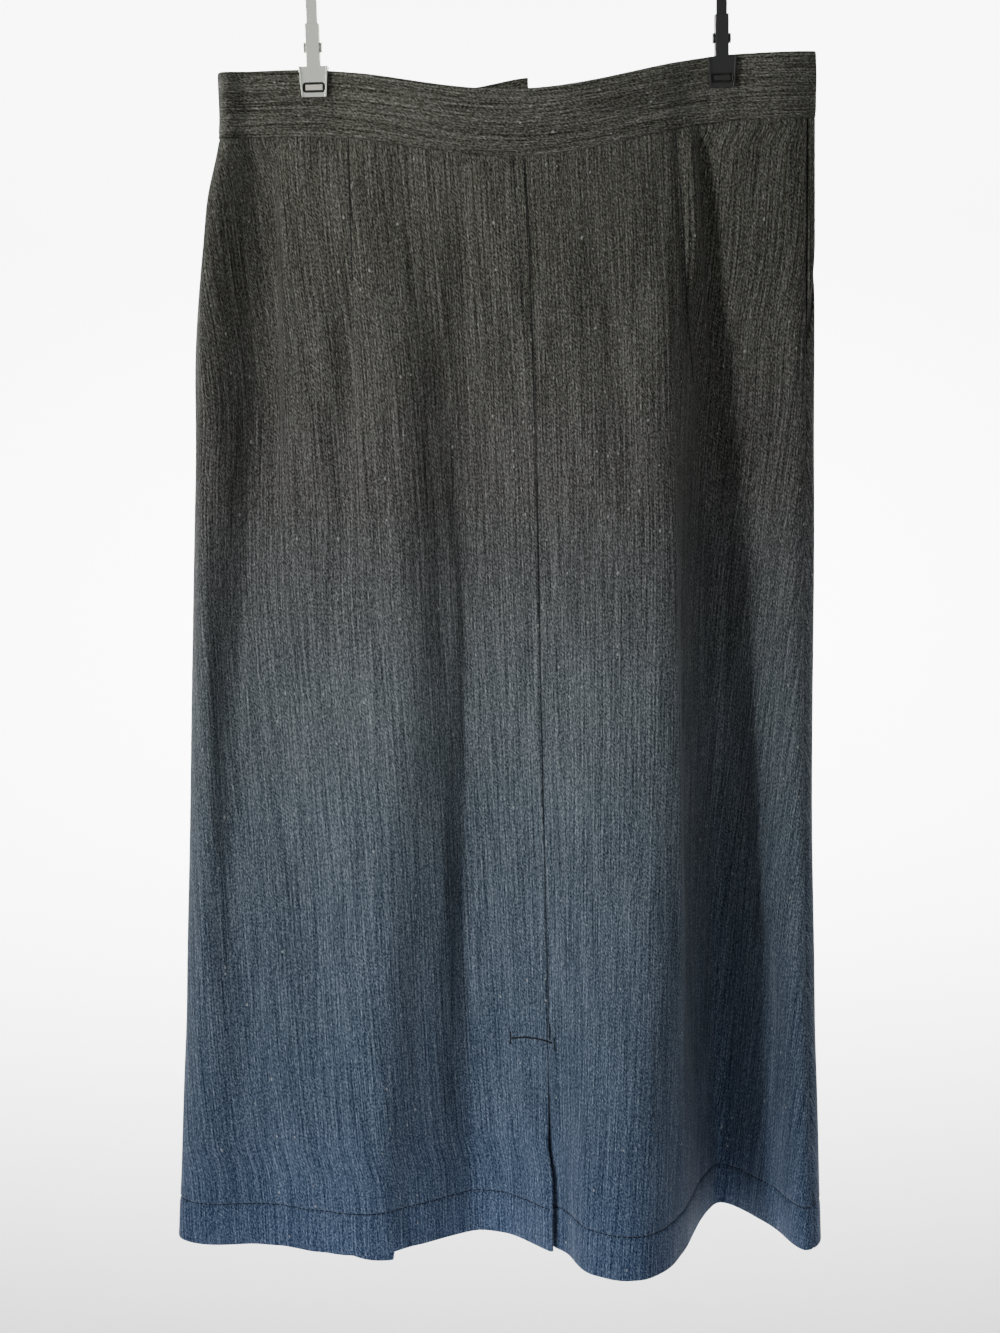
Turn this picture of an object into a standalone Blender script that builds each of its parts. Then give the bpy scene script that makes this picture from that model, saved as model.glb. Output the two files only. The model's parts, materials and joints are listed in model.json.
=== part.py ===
# Midi skirt hanging from a wire clip hanger, seen from the back of the skirt.
#
# The hook's hang point is the origin. The back of the skirt faces -Y, +X is to the
# right of someone looking at it, and +Z is up. Heights along the skirt are measured
# up from its hem, and drop_from_hook turns them into world heights at the end.
#
# The cloth is one closed loop of folds. Each row of FOLDS is one fold line, from the
# waist to the hem, and every panel, the waistband and the pieces behind them are cut
# from the same loop, so they meet along their seams.

import math

import bpy
import bmesh
import numpy as np
from mathutils import Matrix

mm = 0.001

# Driving sizes of the cloth

waist_top = 773.5 * mm          # top of the waistband above the hem, at the clips
waist_sag = 16.5 * mm           # dip of the waistband between the clips
sag_reach = 140 * mm            # the dip ends here, from the middle of the hanger
waist_tilt = 0.0125             # the band hangs a little higher on the right
hip_round = 7 * mm              # how far the left hip swells below the band
hip_round_height = 690 * mm
hip_round_low = 170 * mm        # the swell fades over this length below its height
hip_round_high = 55 * mm        # and over this length above it
hip_round_reach = 70 * mm       # and this far in from the edge
band_height = 39 * mm
band_wall = 2.6 * mm            # folded band with its stiffening
band_proud = 0.6 * mm           # the band stands this far outside the panels
cloth_wall = 1.4 * mm
hem_wall = 2.6 * mm             # the turned-up hem is two layers
hem_depth = 30 * mm
hem_step = 2.5 * mm
seam_gap = 0.3 * mm

# Sizes of the lapped front, the vent and the pockets

lap_step = 3.3 * mm             # the inner front lies this far inside the outer one
lap_ease = 34 * mm              # and eases out to it over this length
tab_lift = 8 * mm               # the inner end of the band stands up this much
tab_length = 46 * mm
corner_droop = 10.5 * mm        # the inner front's lower corner hangs below the hem
corner_length = 75 * mm
vent_height = 148 * mm
vent_under = 25 * mm            # width of the underlap behind the left back panel
vent_root = 11 * mm             # and how far it reaches behind the right one
vent_lift = 3.2 * mm            # the left back panel's edge stands out at the hem
vent_reach = 30 * mm
vent_overlap = 4 * mm           # and then covers the right one's edge
underlap_depth = 3.3 * mm
underlap_wall = 1.2 * mm
pocket_drop = 137 * mm          # the slanted mouth ends this far below the band
pocket_width = 38 * mm          # and starts this far in from the side seam
pocket_lap = 7 * mm
pocket_tuck = 2.3 * mm          # the hip piece sinks this far behind the mouth's edge
tuck_run = 9 * mm               # over this length
pocket_wall = 1.2 * mm
hip_clearance = 1.2 * mm        # the hip piece stops this short of the side seam
hip_piece_below = 8 * mm        # and starts this far below the mouth
pocket_gape = 3.4 * mm          # the left mouth's lower end stands open
pocket_gape_height = 619 * mm
pocket_gape_length = 17 * mm
pocket_gape_reach = 12 * mm

# Sizes of the hanger

hook_drop = 147 * mm            # hang point down to the waistband's top
bar_drop = 95 * mm              # hang point down to the middle of the bar
bar_radius = 2.2 * mm
bar_length = 330 * mm
hook_radius = 17 * mm           # inside the hook
wire_radius = 1.5 * mm
clip_places = (("left", -124 * mm), ("right", 123 * mm))
clip_gap = 0.3 * mm
clip_top_width = 17.5 * mm
clip_foot_width = 15 * mm
clip_bite = 18 * mm             # how far the jaws reach down over the band
clip_sheet = 1.2 * mm
clip_rim = 1.0 * mm
clip_rim_rise = 1.3 * mm
clip_neck_width = 8 * mm
clip_neck = 25 * mm
slot_width = 12.6 * mm
slot_height = 5.2 * mm
slot_rise = 5.6 * mm            # the slot's middle above the jaw's foot
grip_depth = 2.5 * mm           # middle of the hanger to each band's cloth line
grip_half = 11 * mm
grip_ease = 26 * mm
button_radius = 8.5 * mm
button_thickness = 2.6 * mm
button_place = 27 * mm          # from the band's outer end

# Fold lines around the loop, in millimetres. The first lies at the left edge, the
# next ones cross the back from left to right, and the last ones return along the
# front. Each has its place across the hanger and its depth at four heights.

fold_heights = (0 * mm, 280 * mm, 580 * mm, 750 * mm)

FOLDS = (
    # name               across: hem, knee, hip, waist      depth: hem, knee, hip, waist
    ("left edge",        (-250, -227, -204, -182),          (24, 16, 4, 0)),
    ("left flare",       (-230, -215, -197, -177),          (9, -4, -13, -9)),
    ("left dip",         (-190, -194, -164, -157),          (8, 4, 2, -2)),
    ("left slope",       (-156, -146, -130, -124),          (-4, -6, -11, -10)),
    ("left ridge",       (-118, -94, -80, -98),             (-13, -20, -17, -12)),
    ("left fall",        (-84, -64, -54, -66),              (1, -4, -9, -15)),
    ("middle dip",       (-41, -42, -32, -32),              (21, 12, -6, -17)),
    ("centre back",      (5, 6, 5, 2),                      (-8, -10, -16, -18)),
    ("right climb",      (32, 42, 42, 40),                  (-47, -35, -24, -17)),
    ("right ridge",      (64, 74, 78, 74),                  (-56, -46, -30, -13)),
    ("wall top",         (90, 94, 96, 100),                 (-28, -29, -22, -9)),
    ("wall foot",        (110, 110, 108, 116),              (28, 15, 1, -8)),
    ("right dip",        (126, 124, 122, 132),              (54, 31, 8, -8)),
    ("right rise",       (152, 148, 146, 150),              (26, 12, 0, -8)),
    ("edge ridge",       (174, 168, 167, 168),              (-19, -13, -9, -6)),
    ("right edge",       (188, 181, 181, 180),              (-5, -2, 0, 0)),
    ("front right side", (180, 173, 171, 167),              (28, 21, 13, 6)),
    ("front flank",      (156, 150, 148, 148),              (62, 46, 26, 9)),
    ("front dip back",   (124, 124, 124, 124),              (80, 60, 34, 11)),
    ("front fall",       (94, 98, 100, 98),                 (56, 44, 28, 13)),
    ("front ridge",      (64, 70, 74, 72),                  (20, 20, 20, 15)),
    ("front slope",      (32, 38, 40, 40),                  (34, 28, 26, 18)),
    ("centre front",     (2, 4, 4, 6),                      (64, 50, 36, 20)),
    ("front swell",      (-32, -28, -28, -28),              (70, 54, 36, 19)),
    ("front tuck",       (-66, -60, -60, -60),              (38, 32, 26, 17)),
    ("front nest",       (-98, -90, -92, -94),              (8, 12, 18, 14)),
    ("front lift",       (-132, -122, -124, -124),          (12, 18, 22, 11)),
    ("front left swell", (-164, -152, -152, -150),          (56, 48, 32, 9)),
    ("front left back",  (-200, -184, -178, -168),          (88, 60, 28, 7)),
    ("front left side",  (-234, -212, -197, -179),          (62, 40, 18, 4)),
)

# Where the panels end, as places in the rows of FOLDS

centre_back_row = 7
right_edge_row = 15
left_seam_past_edge = 6 * mm    # the left side seam lies just behind the left edge
right_seam_short = 9 * mm       # the right one shows just before the right edge
inner_front_rows = (25.15, 22.0)    # the inner front's free edge at the hem and waist
outer_front_rows = (27.1, 23.9)     # the outer front's free edge

# How fine the cloth's grid is

column_step = 8.6 * mm
sections_below_pocket = 9
sections_beside_pocket = 7


def ease(value):
    """A soft step from 0 to 1."""
    t = np.clip(value, 0.0, 1.0)
    return t * t * (3.0 - 2.0 * t)


def tangents(knots, values, closed_length=None):
    """Slope at each knot, from its two neighbours."""
    if closed_length is None:
        slope = np.zeros_like(values)
        slope[1:-1] = (values[2:] - values[:-2]) / (knots[2:] - knots[:-2])[:, None]
        return slope
    after = np.roll(values, -1, axis=0)
    before = np.roll(values, 1, axis=0)
    knots_after = np.append(knots[1:], knots[0] + closed_length)
    knots_before = np.append(knots[-1] - closed_length, knots[:-1])
    return (after - before) / (knots_after - knots_before)[:, None]


def blend(p0, p1, m0, m1, span, t):
    """Cubic between two knots, and its slope."""
    value = ((2 * t**3 - 3 * t**2 + 1) * p0 + (t**3 - 2 * t**2 + t) * span * m0
             + (3 * t**2 - 2 * t**3) * p1 + (t**3 - t**2) * span * m1)
    slope = ((6 * t**2 - 6 * t) * (p0 - p1) / span + (3 * t**2 - 4 * t + 1) * m0
             + (3 * t**2 - 2 * t) * m1)
    return value, slope


def fold_rows():
    """The fold table as an array: row, height, (across, depth)."""
    rows = [np.stack([across, depth], axis=-1) for _, across, depth in FOLDS]
    return np.array(rows, dtype=float) * mm


def loop_knots(rows):
    """Distance along the loop to each fold line, as the mean of the four heights."""
    steps = np.linalg.norm(np.roll(rows, -1, axis=0) - rows, axis=2).mean(axis=1)
    knots = np.concatenate([[0.0], np.cumsum(steps)])
    return knots[:-1], knots[-1]


ROWS = fold_rows()
KNOTS, LOOP = loop_knots(ROWS)
HEIGHTS = np.array(fold_heights)


def rows_at(height):
    """The fold lines' places at one height."""
    h = min(max(height, HEIGHTS[0]), HEIGHTS[-1])
    i = min(int(np.searchsorted(HEIGHTS, h, side="right")) - 1, len(HEIGHTS) - 2)
    values = ROWS.transpose(1, 0, 2).reshape(len(HEIGHTS), -1)
    slopes = tangents(HEIGHTS, values)
    slopes[0] = (values[1] - values[0]) / (HEIGHTS[1] - HEIGHTS[0])
    span = HEIGHTS[i + 1] - HEIGHTS[i]
    t = (h - HEIGHTS[i]) / span
    place, _ = blend(values[i], values[i + 1], slopes[i], slopes[i + 1], span, t)
    return place.reshape(-1, 2)


def along_loop(u, height):
    """Point and inward direction on the folded loop."""
    rows = rows_at(height)
    slopes = tangents(KNOTS, rows, LOOP)
    u = u % LOOP
    i = int(np.searchsorted(KNOTS, u, side="right")) - 1
    j = (i + 1) % len(KNOTS)
    span = (KNOTS[j] if j else LOOP) - KNOTS[i]
    point, slope = blend(rows[i], rows[j], slopes[i], slopes[j], span, (u - KNOTS[i]) / span)
    point, slope = pinch(point, slope, u, height)
    point = np.array([point[0] - hip_swell(point[0], height), point[1]])
    slope = slope / np.linalg.norm(slope)
    return point, np.array([-slope[1], slope[0]])


def hip_swell(across, height):
    """The left side seam's curve over the hip."""
    away = height - hip_round_height
    fade = away / hip_round_high if away > 0 else -away / hip_round_low
    edge = (across - ROWS[0, -1, 0]) / hip_round_reach
    return hip_round * float((1.0 - ease(fade)) * (1.0 - ease(edge)))


def pinch(point, slope, u, height):
    """Press both sides of the band together in the clips."""
    high = float(ease((height - 700 * mm) / (50 * mm)))
    side = -1.0 if u < KNOTS[right_edge_row] else 1.0
    for _, place in clip_places:
        away = abs(point[0] - place)
        near = 1.0 - float(ease((away - grip_half) / grip_ease))
        grip = near * high
        point = np.array([point[0], point[1] + (side * grip_depth - point[1]) * grip])
        slope = np.array([slope[0], slope[1] * (1.0 - grip)])
    return point, slope


def row_place(row):
    """Distance along the loop to a place between two rows."""
    return float(np.interp(row, np.arange(len(KNOTS)), KNOTS))


def edge_between(hem_row, waist_row):
    """A free edge that runs from one row at the hem to another at the waist."""
    low = row_place(hem_row)
    high = row_place(waist_row)
    return lambda height: low + (high - low) * height / waist_top


left_seam = -left_seam_past_edge
right_seam = KNOTS[right_edge_row] - right_seam_short
centre_back = KNOTS[centre_back_row]
inner_front_edge = edge_between(*inner_front_rows)
outer_front_edge = edge_between(*outer_front_rows)


def band_top(u):
    """Height of the waistband's top, which dips between the clips."""
    point, _ = along_loop(u, waist_top)
    reach = min(abs(point[0]) / sag_reach, 1.0)
    dip = waist_sag * 0.5 * (1.0 + math.cos(math.pi * reach))
    return waist_top + waist_tilt * point[0] - dip


def band_foot(u):
    return band_top(u) - band_height


def pocket_edge_shift(height):
    """How far the slanted pocket mouth lies from the side seam at one height."""
    return pocket_width * max(0.0, (height - mouth_low) / pocket_drop)


def lap_shift(u, height):
    """The inner front slips inside the outer one where they lap."""
    past = (u % LOOP) - outer_front_edge(height)
    return lap_step * float(1.0 - ease((past - 6 * mm) / lap_ease))


# Cloth


def wall(name, outside, inside, material):
    """A closed wall lofted between an outside and an inside grid of points."""
    heights, columns, _ = outside.shape
    points = np.concatenate([outside.reshape(-1, 3), inside.reshape(-1, 3)])
    inner = heights * columns
    faces = []
    for j in range(heights - 1):
        for i in range(columns - 1):
            a = j * columns + i
            quad = (a, a + 1, a + columns + 1, a + columns)
            faces.append(quad)
            faces.append(tuple(inner + k for k in reversed(quad)))
    rim = [i for i in range(columns)]
    rim += [j * columns + columns - 1 for j in range(1, heights)]
    rim += [(heights - 1) * columns + i for i in range(columns - 2, -1, -1)]
    rim += [j * columns for j in range(heights - 2, 0, -1)]
    for k, a in enumerate(rim):
        b = rim[(k + 1) % len(rim)]
        faces.append((b, a, inner + a, inner + b))
    mesh = bpy.data.meshes.new(name)
    mesh.from_pydata([tuple(drop_from_hook(p)) for p in points], [], faces)
    mesh.update()
    return add_object(name, mesh, material)


def drop_from_hook(point):
    return (point[0], point[1], point[2] - waist_top - hook_drop)


def no_shift(u, height):
    return 0.0


def hem_level(u):
    return 0.0


panel_tall = waist_top - band_height
mouth_low = panel_tall - pocket_drop
mouth_level = mouth_low / panel_tall


def pocket_levels():
    """Heights of the sections from the foot of the pocket mouth up to the band."""
    return list(np.linspace(mouth_level, 1.0, sections_beside_pocket + 1))


def panel_levels():
    """Heights of a panel's sections, as shares of the way from hem to band."""
    turned = [0.0, hem_depth / panel_tall, (hem_depth + hem_step) / panel_tall]
    plain = np.linspace(turned[-1], mouth_level, sections_below_pocket + 1)[1:-1]
    return turned + list(plain) + pocket_levels()


def panel(name, start, end, material, shift=no_shift, low=hem_level, extra_levels=()):
    """A skirt panel from the hem to the waistband, between two edges."""
    tall = panel_tall
    levels = sorted(panel_levels() + [h / tall for h in extra_levels])
    width = max(end(0.0) - start(0.0), end(tall) - start(tall))
    columns = int(math.ceil(width / column_step)) + 1
    outside = np.zeros((len(levels), columns, 3))
    inside = np.zeros((len(levels), columns, 3))
    for j, level in enumerate(levels):
        thick = hem_wall if level * tall < hem_depth + 0.5 * hem_step else cloth_wall
        for i in range(columns):
            height = level * tall
            a = start(height)
            u = a + (end(height) - a) * i / (columns - 1)
            top = band_foot(u) - seam_gap
            foot = low(u)
            z = foot + (top - foot) * level
            point, inward = along_loop(u, z)
            out = point + inward * shift(u, z)
            into = out + inward * thick
            outside[j, i] = (out[0], out[1], z)
            inside[j, i] = (into[0], into[1], z)
    return wall(name, outside, inside, material)


def vent_open(height):
    """1 at the hem and 0 at the top of the vent."""
    return float(1.0 - ease(height / vent_height))


def vent_spread(u, height):
    """At the vent the left panel's edge stands out and the right one's sinks in."""
    away = max(abs(u - centre_back) - vent_overlap, 0.0)
    return vent_lift * vent_open(height) * float(1.0 - ease(away / vent_reach))


def vent_flap_edge(height):
    """The left panel's edge passes over the right one where the two stand apart."""
    cover = vent_overlap * float(ease((vent_open(height) - 0.45) / 0.3))
    return centre_back - 0.5 * seam_gap + cover


def back_panels(material):
    half = 0.5 * seam_gap
    panel("back_panel_left", lambda h: left_seam + half, vent_flap_edge,
          material, shift=lambda u, h: -vent_spread(u, h), extra_levels=(vent_height,))
    panel("back_panel_right", lambda h: centre_back + half, lambda h: right_seam - half,
          material, shift=vent_spread, extra_levels=(vent_height,))


def inner_front_hem(u):
    """The inner front droops towards its free lower corner."""
    away = (u % LOOP) - inner_front_edge(0.0)
    return -corner_droop * float(1.0 - ease(away / corner_length))


def outer_front_hem(u):
    return 3 * mm * float(ease((u - right_seam) / (120 * mm)))


def pocket_gape_at(u, height):
    """The left pocket mouth bows outwards near its lower end."""
    tall = math.exp(-((height - pocket_gape_height) / pocket_gape_length) ** 2)
    edge = LOOP + left_seam - pocket_edge_shift(height)
    away = max(0.0, edge - (u % LOOP))
    return pocket_gape * tall * float(1.0 - ease(away / pocket_gape_reach))


def front_panels(material):
    half = 0.5 * seam_gap
    panel("front_panel_left",
          inner_front_edge,
          lambda h: LOOP + left_seam - half - pocket_edge_shift(h),
          material,
          shift=lambda u, h: lap_shift(u, h) - pocket_gape_at(u, h),
          low=inner_front_hem)
    panel("front_panel_right",
          lambda h: right_seam + half + pocket_edge_shift(h),
          outer_front_edge,
          material,
          low=outer_front_hem)


def hip_piece(name, side_seam, direction, material):
    """The cloth behind a slanted pocket mouth, flush with the side seam."""
    levels = [(mouth_low - hip_piece_below) / panel_tall] + pocket_levels()
    rows = len(levels)
    columns = 7
    outside = np.zeros((rows, columns, 3))
    inside = np.zeros((rows, columns, 3))
    for j in range(rows):
        for i in range(columns):
            share = i / (columns - 1)
            if direction < 0:
                share = 1.0 - share
            shift = pocket_edge_shift(levels[j] * panel_tall)
            reach = shift + pocket_lap
            away = hip_clearance + (reach - hip_clearance) * share
            u = side_seam + direction * away
            z = (band_foot(u) - seam_gap) * levels[j]
            point, inward = along_loop(u, z)
            tuck = pocket_tuck * float(ease((away - shift + tuck_run) / tuck_run))
            out = point + inward * tuck
            into = out + inward * pocket_wall
            outside[j, i] = (out[0], out[1], z)
            inside[j, i] = (into[0], into[1], z)
    return wall(name, outside, inside, material)


def vent_underlap(material):
    """The strip behind the vent, sewn under the right panel."""
    rows = 6
    columns = 6
    outside = np.zeros((rows, columns, 3))
    inside = np.zeros((rows, columns, 3))
    for j in range(rows):
        z = 3 * mm + (vent_height - 3 * mm) * j / (rows - 1)
        for i in range(columns):
            u = centre_back - vent_under + (vent_under + vent_root) * i / (columns - 1)
            point, inward = along_loop(u, z)
            out = point + inward * (underlap_depth + vent_spread(max(u, centre_back), z))
            into = out + inward * underlap_wall
            outside[j, i] = (out[0], out[1], z)
            inside[j, i] = (into[0], into[1], z)
    return wall("vent_underlap", outside, inside, material)


def waistband(material):
    """One strip around the waist, its inner end standing up behind the outer one."""
    start = inner_front_edge(waist_top) - LOOP
    end = outer_front_edge(waist_top)
    columns = int(math.ceil((end - start) / (7.4 * mm))) + 1
    rows = 3
    outside = np.zeros((rows, columns, 3))
    inside = np.zeros((rows, columns, 3))
    for i in range(columns):
        u = start + (end - start) * i / (columns - 1)
        from_start = u - start
        lap_end = end - LOOP + 6 * mm
        tuck = lap_step * float(1.0 - ease((u - lap_end) / lap_ease))
        lift = tab_lift * float(1.0 - ease(from_start / tab_length))
        foot = band_foot(u)
        for j in range(rows):
            z = foot + (band_height + lift) * j / (rows - 1)
            point, inward = along_loop(u, z)
            out = point + inward * (tuck - band_proud)
            into = out + inward * band_wall
            outside[j, i] = (out[0], out[1], z)
            inside[j, i] = (into[0], into[1], z)
    return wall("waistband", outside, inside, material)


# Fastening and hanger


def add_object(name, mesh, material):
    thing = bpy.data.objects.new(name, mesh)
    collection("midi_skirt_on_clip_hanger").objects.link(thing)
    mesh.materials.append(material)
    return thing


def collection(name):
    group = bpy.data.collections.get(name)
    if group is None:
        group = bpy.data.collections.new(name)
        bpy.context.scene.collection.children.link(group)
    return group


def finish(name, colour, roughness, metallic=0.0):
    material = bpy.data.materials.new(name)
    material.use_nodes = True
    shader = material.node_tree.nodes["Principled BSDF"]
    shader.inputs["Base Color"].default_value = (*colour, 1.0)
    shader.inputs["Roughness"].default_value = roughness
    shader.inputs["Metallic"].default_value = metallic
    return material


def solid(name, make, material):
    """A mesh object from one bmesh primitive, with its faces pointing out."""
    mesh = bpy.data.meshes.new(name)
    bm = bmesh.new()
    make(bm)
    bmesh.ops.recalc_face_normals(bm, faces=bm.faces)
    bm.to_mesh(mesh)
    bm.free()
    return add_object(name, mesh, material)


def block(bm, centre, size):
    """Add a box to a bmesh."""
    made = bmesh.ops.create_cube(bm, size=1.0)["verts"]
    bmesh.ops.scale(bm, verts=made, vec=size)
    bmesh.ops.translate(bm, verts=made, vec=centre)
    return made


def rod(bm, centre, radius, length, axis, sides=16):
    """Add a cylinder to a bmesh, along X, Y or Z."""
    made = bmesh.ops.create_cone(bm, cap_ends=True, segments=sides, radius1=radius,
                                 radius2=radius, depth=length)["verts"]
    turns = {"X": (math.pi / 2, "Y"), "Y": (math.pi / 2, "X"), "Z": (0.0, "Z")}
    angle, about = turns[axis]
    bmesh.ops.rotate(bm, verts=made, matrix=Matrix.Rotation(angle, 3, about))
    bmesh.ops.translate(bm, verts=made, vec=centre)
    return made


def combine(target, other, operation):
    """Join or cut one mesh object with another, which is then removed."""
    tool = target.modifiers.new(operation.lower(), "BOOLEAN")
    tool.operation = operation
    tool.solver = "EXACT"
    tool.object = other
    depsgraph = bpy.context.evaluated_depsgraph_get()
    depsgraph.update()
    mesh = bpy.data.meshes.new_from_object(target.evaluated_get(depsgraph))
    target.modifiers.clear()
    target.data = mesh
    bpy.data.objects.remove(other)
    return target


def waist_button(material):
    """A flat button on the outer end of the band."""
    u = outer_front_edge(waist_top) - button_place
    z = band_top(u) - 0.5 * band_height
    point, inward = along_loop(u, z)
    middle = point - inward * (band_proud + seam_gap + 0.25 * mm + 0.5 * button_thickness)
    centre = drop_from_hook((middle[0], middle[1], z))

    def make(bm):
        rod(bm, (0.0, 0.0, 0.0), button_radius, button_thickness, "Y", sides=24)

    button = solid("waist_button", make, material)
    button.location = centre
    button.rotation_euler = (0.0, 0.0, math.atan2(inward[0], -inward[1]))
    edge = button.modifiers.new("rounded edge", "BEVEL")
    edge.width = 0.6 * mm
    edge.segments = 2
    edge.limit_method = "ANGLE"
    return button


def hanger_bar(material):
    def make(bm):
        rod(bm, (0.0, 0.0, -bar_drop), bar_radius, bar_length, "X", sides=14)

    bar = solid("hanger_bar", make, material)
    edge = bar.modifiers.new("rounded ends", "BEVEL")
    edge.width = 0.9 * mm
    edge.segments = 2
    edge.limit_method = "ANGLE"
    return bar


def hanger_hook(material):
    """Wire that rises from the bar, swings aside and turns over to hang."""
    bend = hook_radius + wire_radius
    centre = wire_radius - bend
    foot = -bar_drop + bar_radius + seam_gap
    stem = [(0.0, foot), (0.0, -0.055)]
    swing = [(0.0035, -0.048), (0.0095, -0.0405)]
    turn_start = math.radians(-38)
    turn_end = math.radians(205)
    steps = 22
    arc = []
    for k in range(steps + 1):
        angle = turn_start + (turn_end - turn_start) * k / steps
        arc.append((bend * math.cos(angle), centre + bend * math.sin(angle)))
    route = stem + swing + arc
    curve = bpy.data.curves.new("hanger_hook", "CURVE")
    curve.dimensions = "3D"
    curve.bevel_depth = wire_radius
    curve.bevel_resolution = 2
    curve.use_fill_caps = True
    line = curve.splines.new("POLY")
    line.points.add(len(route) - 1)
    for point, (x, z) in zip(line.points, route):
        point.co = (x, 0.0, z, 1.0)
    curve.materials.append(material)
    hook = bpy.data.objects.new("hanger_hook", curve)
    collection("midi_skirt_on_clip_hanger").objects.link(hook)
    return hook


def jaw(name, place, side, material):
    """A pressed plate over the band, with a slot, side rims and a narrow neck."""
    top = -hook_drop
    foot = top - clip_bite
    inner = side * (grip_depth + band_proud + clip_gap)
    middle = inner + side * 0.5 * clip_sheet

    def plate(bm):
        made = block(bm, (place, middle, 0.5 * (top + foot)),
                     (clip_top_width, clip_sheet, clip_bite))
        for vertex in made:
            if vertex.co.z < foot + 1 * mm:
                vertex.co.x = place + (vertex.co.x - place) * clip_foot_width / clip_top_width

    def neck(bm):
        block(bm, (place, middle, top + 0.5 * clip_neck - 1 * mm),
              (clip_neck_width, clip_sheet * 0.999, clip_neck + 2 * mm))

    def rim(bm, hand):
        rise = clip_sheet + clip_rim_rise
        made = block(bm, (place + hand * 0.5 * (clip_top_width - clip_rim),
                          inner + side * 0.5 * rise, 0.5 * (top + foot)),
                     (clip_rim, rise, clip_bite))
        slope = 0.5 * (clip_top_width - clip_foot_width)
        for vertex in made:
            if vertex.co.z < foot + 1 * mm:
                vertex.co.x -= hand * slope

    thing = solid(name, plate, material)
    combine(thing, solid("jaw_neck", neck, material), "UNION")
    combine(thing, solid("jaw_rim_a", lambda bm: rim(bm, -1), material), "UNION")
    combine(thing, solid("jaw_rim_b", lambda bm: rim(bm, 1), material), "UNION")

    def slot(bm):
        block(bm, (place, middle, foot + slot_rise), (slot_width, 4 * clip_sheet, slot_height))

    return combine(thing, solid("jaw_slot", slot, material), "DIFFERENCE")


def jaw_pad(name, place, material):
    """The pad that shows as a pill in the near jaw's slot."""
    top = -hook_drop
    inner = -(grip_depth + band_proud + clip_gap)
    foot = top - clip_bite

    def make(bm):
        block(bm, (place, inner - 0.5 * clip_sheet, foot + slot_rise),
              (slot_width - 2.4 * mm, clip_sheet, slot_height - 2.0 * mm))

    return solid(name, make, material)


def clip_spring(name, place, material):
    """The pivot between the jaws, just above the band."""
    radius = grip_depth + band_proud
    centre = (place, 0.0, -hook_drop + 11 * mm)

    def make(bm):
        rod(bm, centre, radius, 11 * mm, "X", sides=16)

    return solid(name, make, material)


def clip_link(name, place, material):
    """A sleeve on the bar with a strap down between the jaws."""
    strap_low = -hook_drop + 11 * mm + grip_depth + band_proud + clip_gap
    sleeve = bar_radius + clip_gap + 1.2 * mm

    def tube(bm):
        rod(bm, (place, 0.0, -bar_drop), sleeve, 12 * mm, "X", sides=20)

    def strap(bm):
        high = -bar_drop - bar_radius - clip_gap - 0.2 * mm
        block(bm, (place, 0.0, 0.5 * (high + strap_low)), (6.5 * mm, 3.2 * mm, high - strap_low))

    def hole(bm):
        rod(bm, (place, 0.0, -bar_drop), bar_radius + clip_gap, 20 * mm, "X", sides=20)

    link = solid(name, tube, material)
    combine(link, solid("link_strap", strap, material), "UNION")
    return combine(link, solid("link_hole", hole, material), "DIFFERENCE")


def hanger(wire, silver, black, pill, rubber):
    hanger_bar(wire)
    hanger_hook(wire)
    finishes = {"left": (silver, pill), "right": (black, rubber)}
    for side_name, place in clip_places:
        metal, pad = finishes[side_name]
        jaw(f"clip_{side_name}_near_jaw", place, -1, metal)
        jaw(f"clip_{side_name}_far_jaw", place, 1, metal)
        jaw_pad(f"clip_{side_name}_pad", place, pad)
        clip_spring(f"clip_{side_name}_spring", place, metal)
        clip_link(f"clip_{side_name}_link", place, metal)


def main():
    for thing in list(bpy.data.objects):
        bpy.data.objects.remove(thing)
    denim = finish("charcoal_denim", (0.050, 0.052, 0.050), 0.92)
    silver = finish("clip_silver", (0.62, 0.62, 0.60), 0.32, 1.0)
    black = finish("clip_black", (0.012, 0.012, 0.013), 0.42)
    wire = finish("hanger_wire", (0.55, 0.55, 0.54), 0.30, 1.0)
    pill = finish("clip_pill", (0.60, 0.57, 0.50), 0.55)
    rubber = finish("clip_rubber", (0.020, 0.020, 0.020), 0.70)
    dark_button = finish("button_dark", (0.020, 0.021, 0.024), 0.38)
    back_panels(denim)
    front_panels(denim)
    hip_piece("hip_piece_left", LOOP + left_seam, -1, denim)
    hip_piece("hip_piece_right", right_seam, 1, denim)
    vent_underlap(denim)
    waistband(denim)
    waist_button(dark_button)
    hanger(wire, silver, black, pill, rubber)


main()
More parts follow.
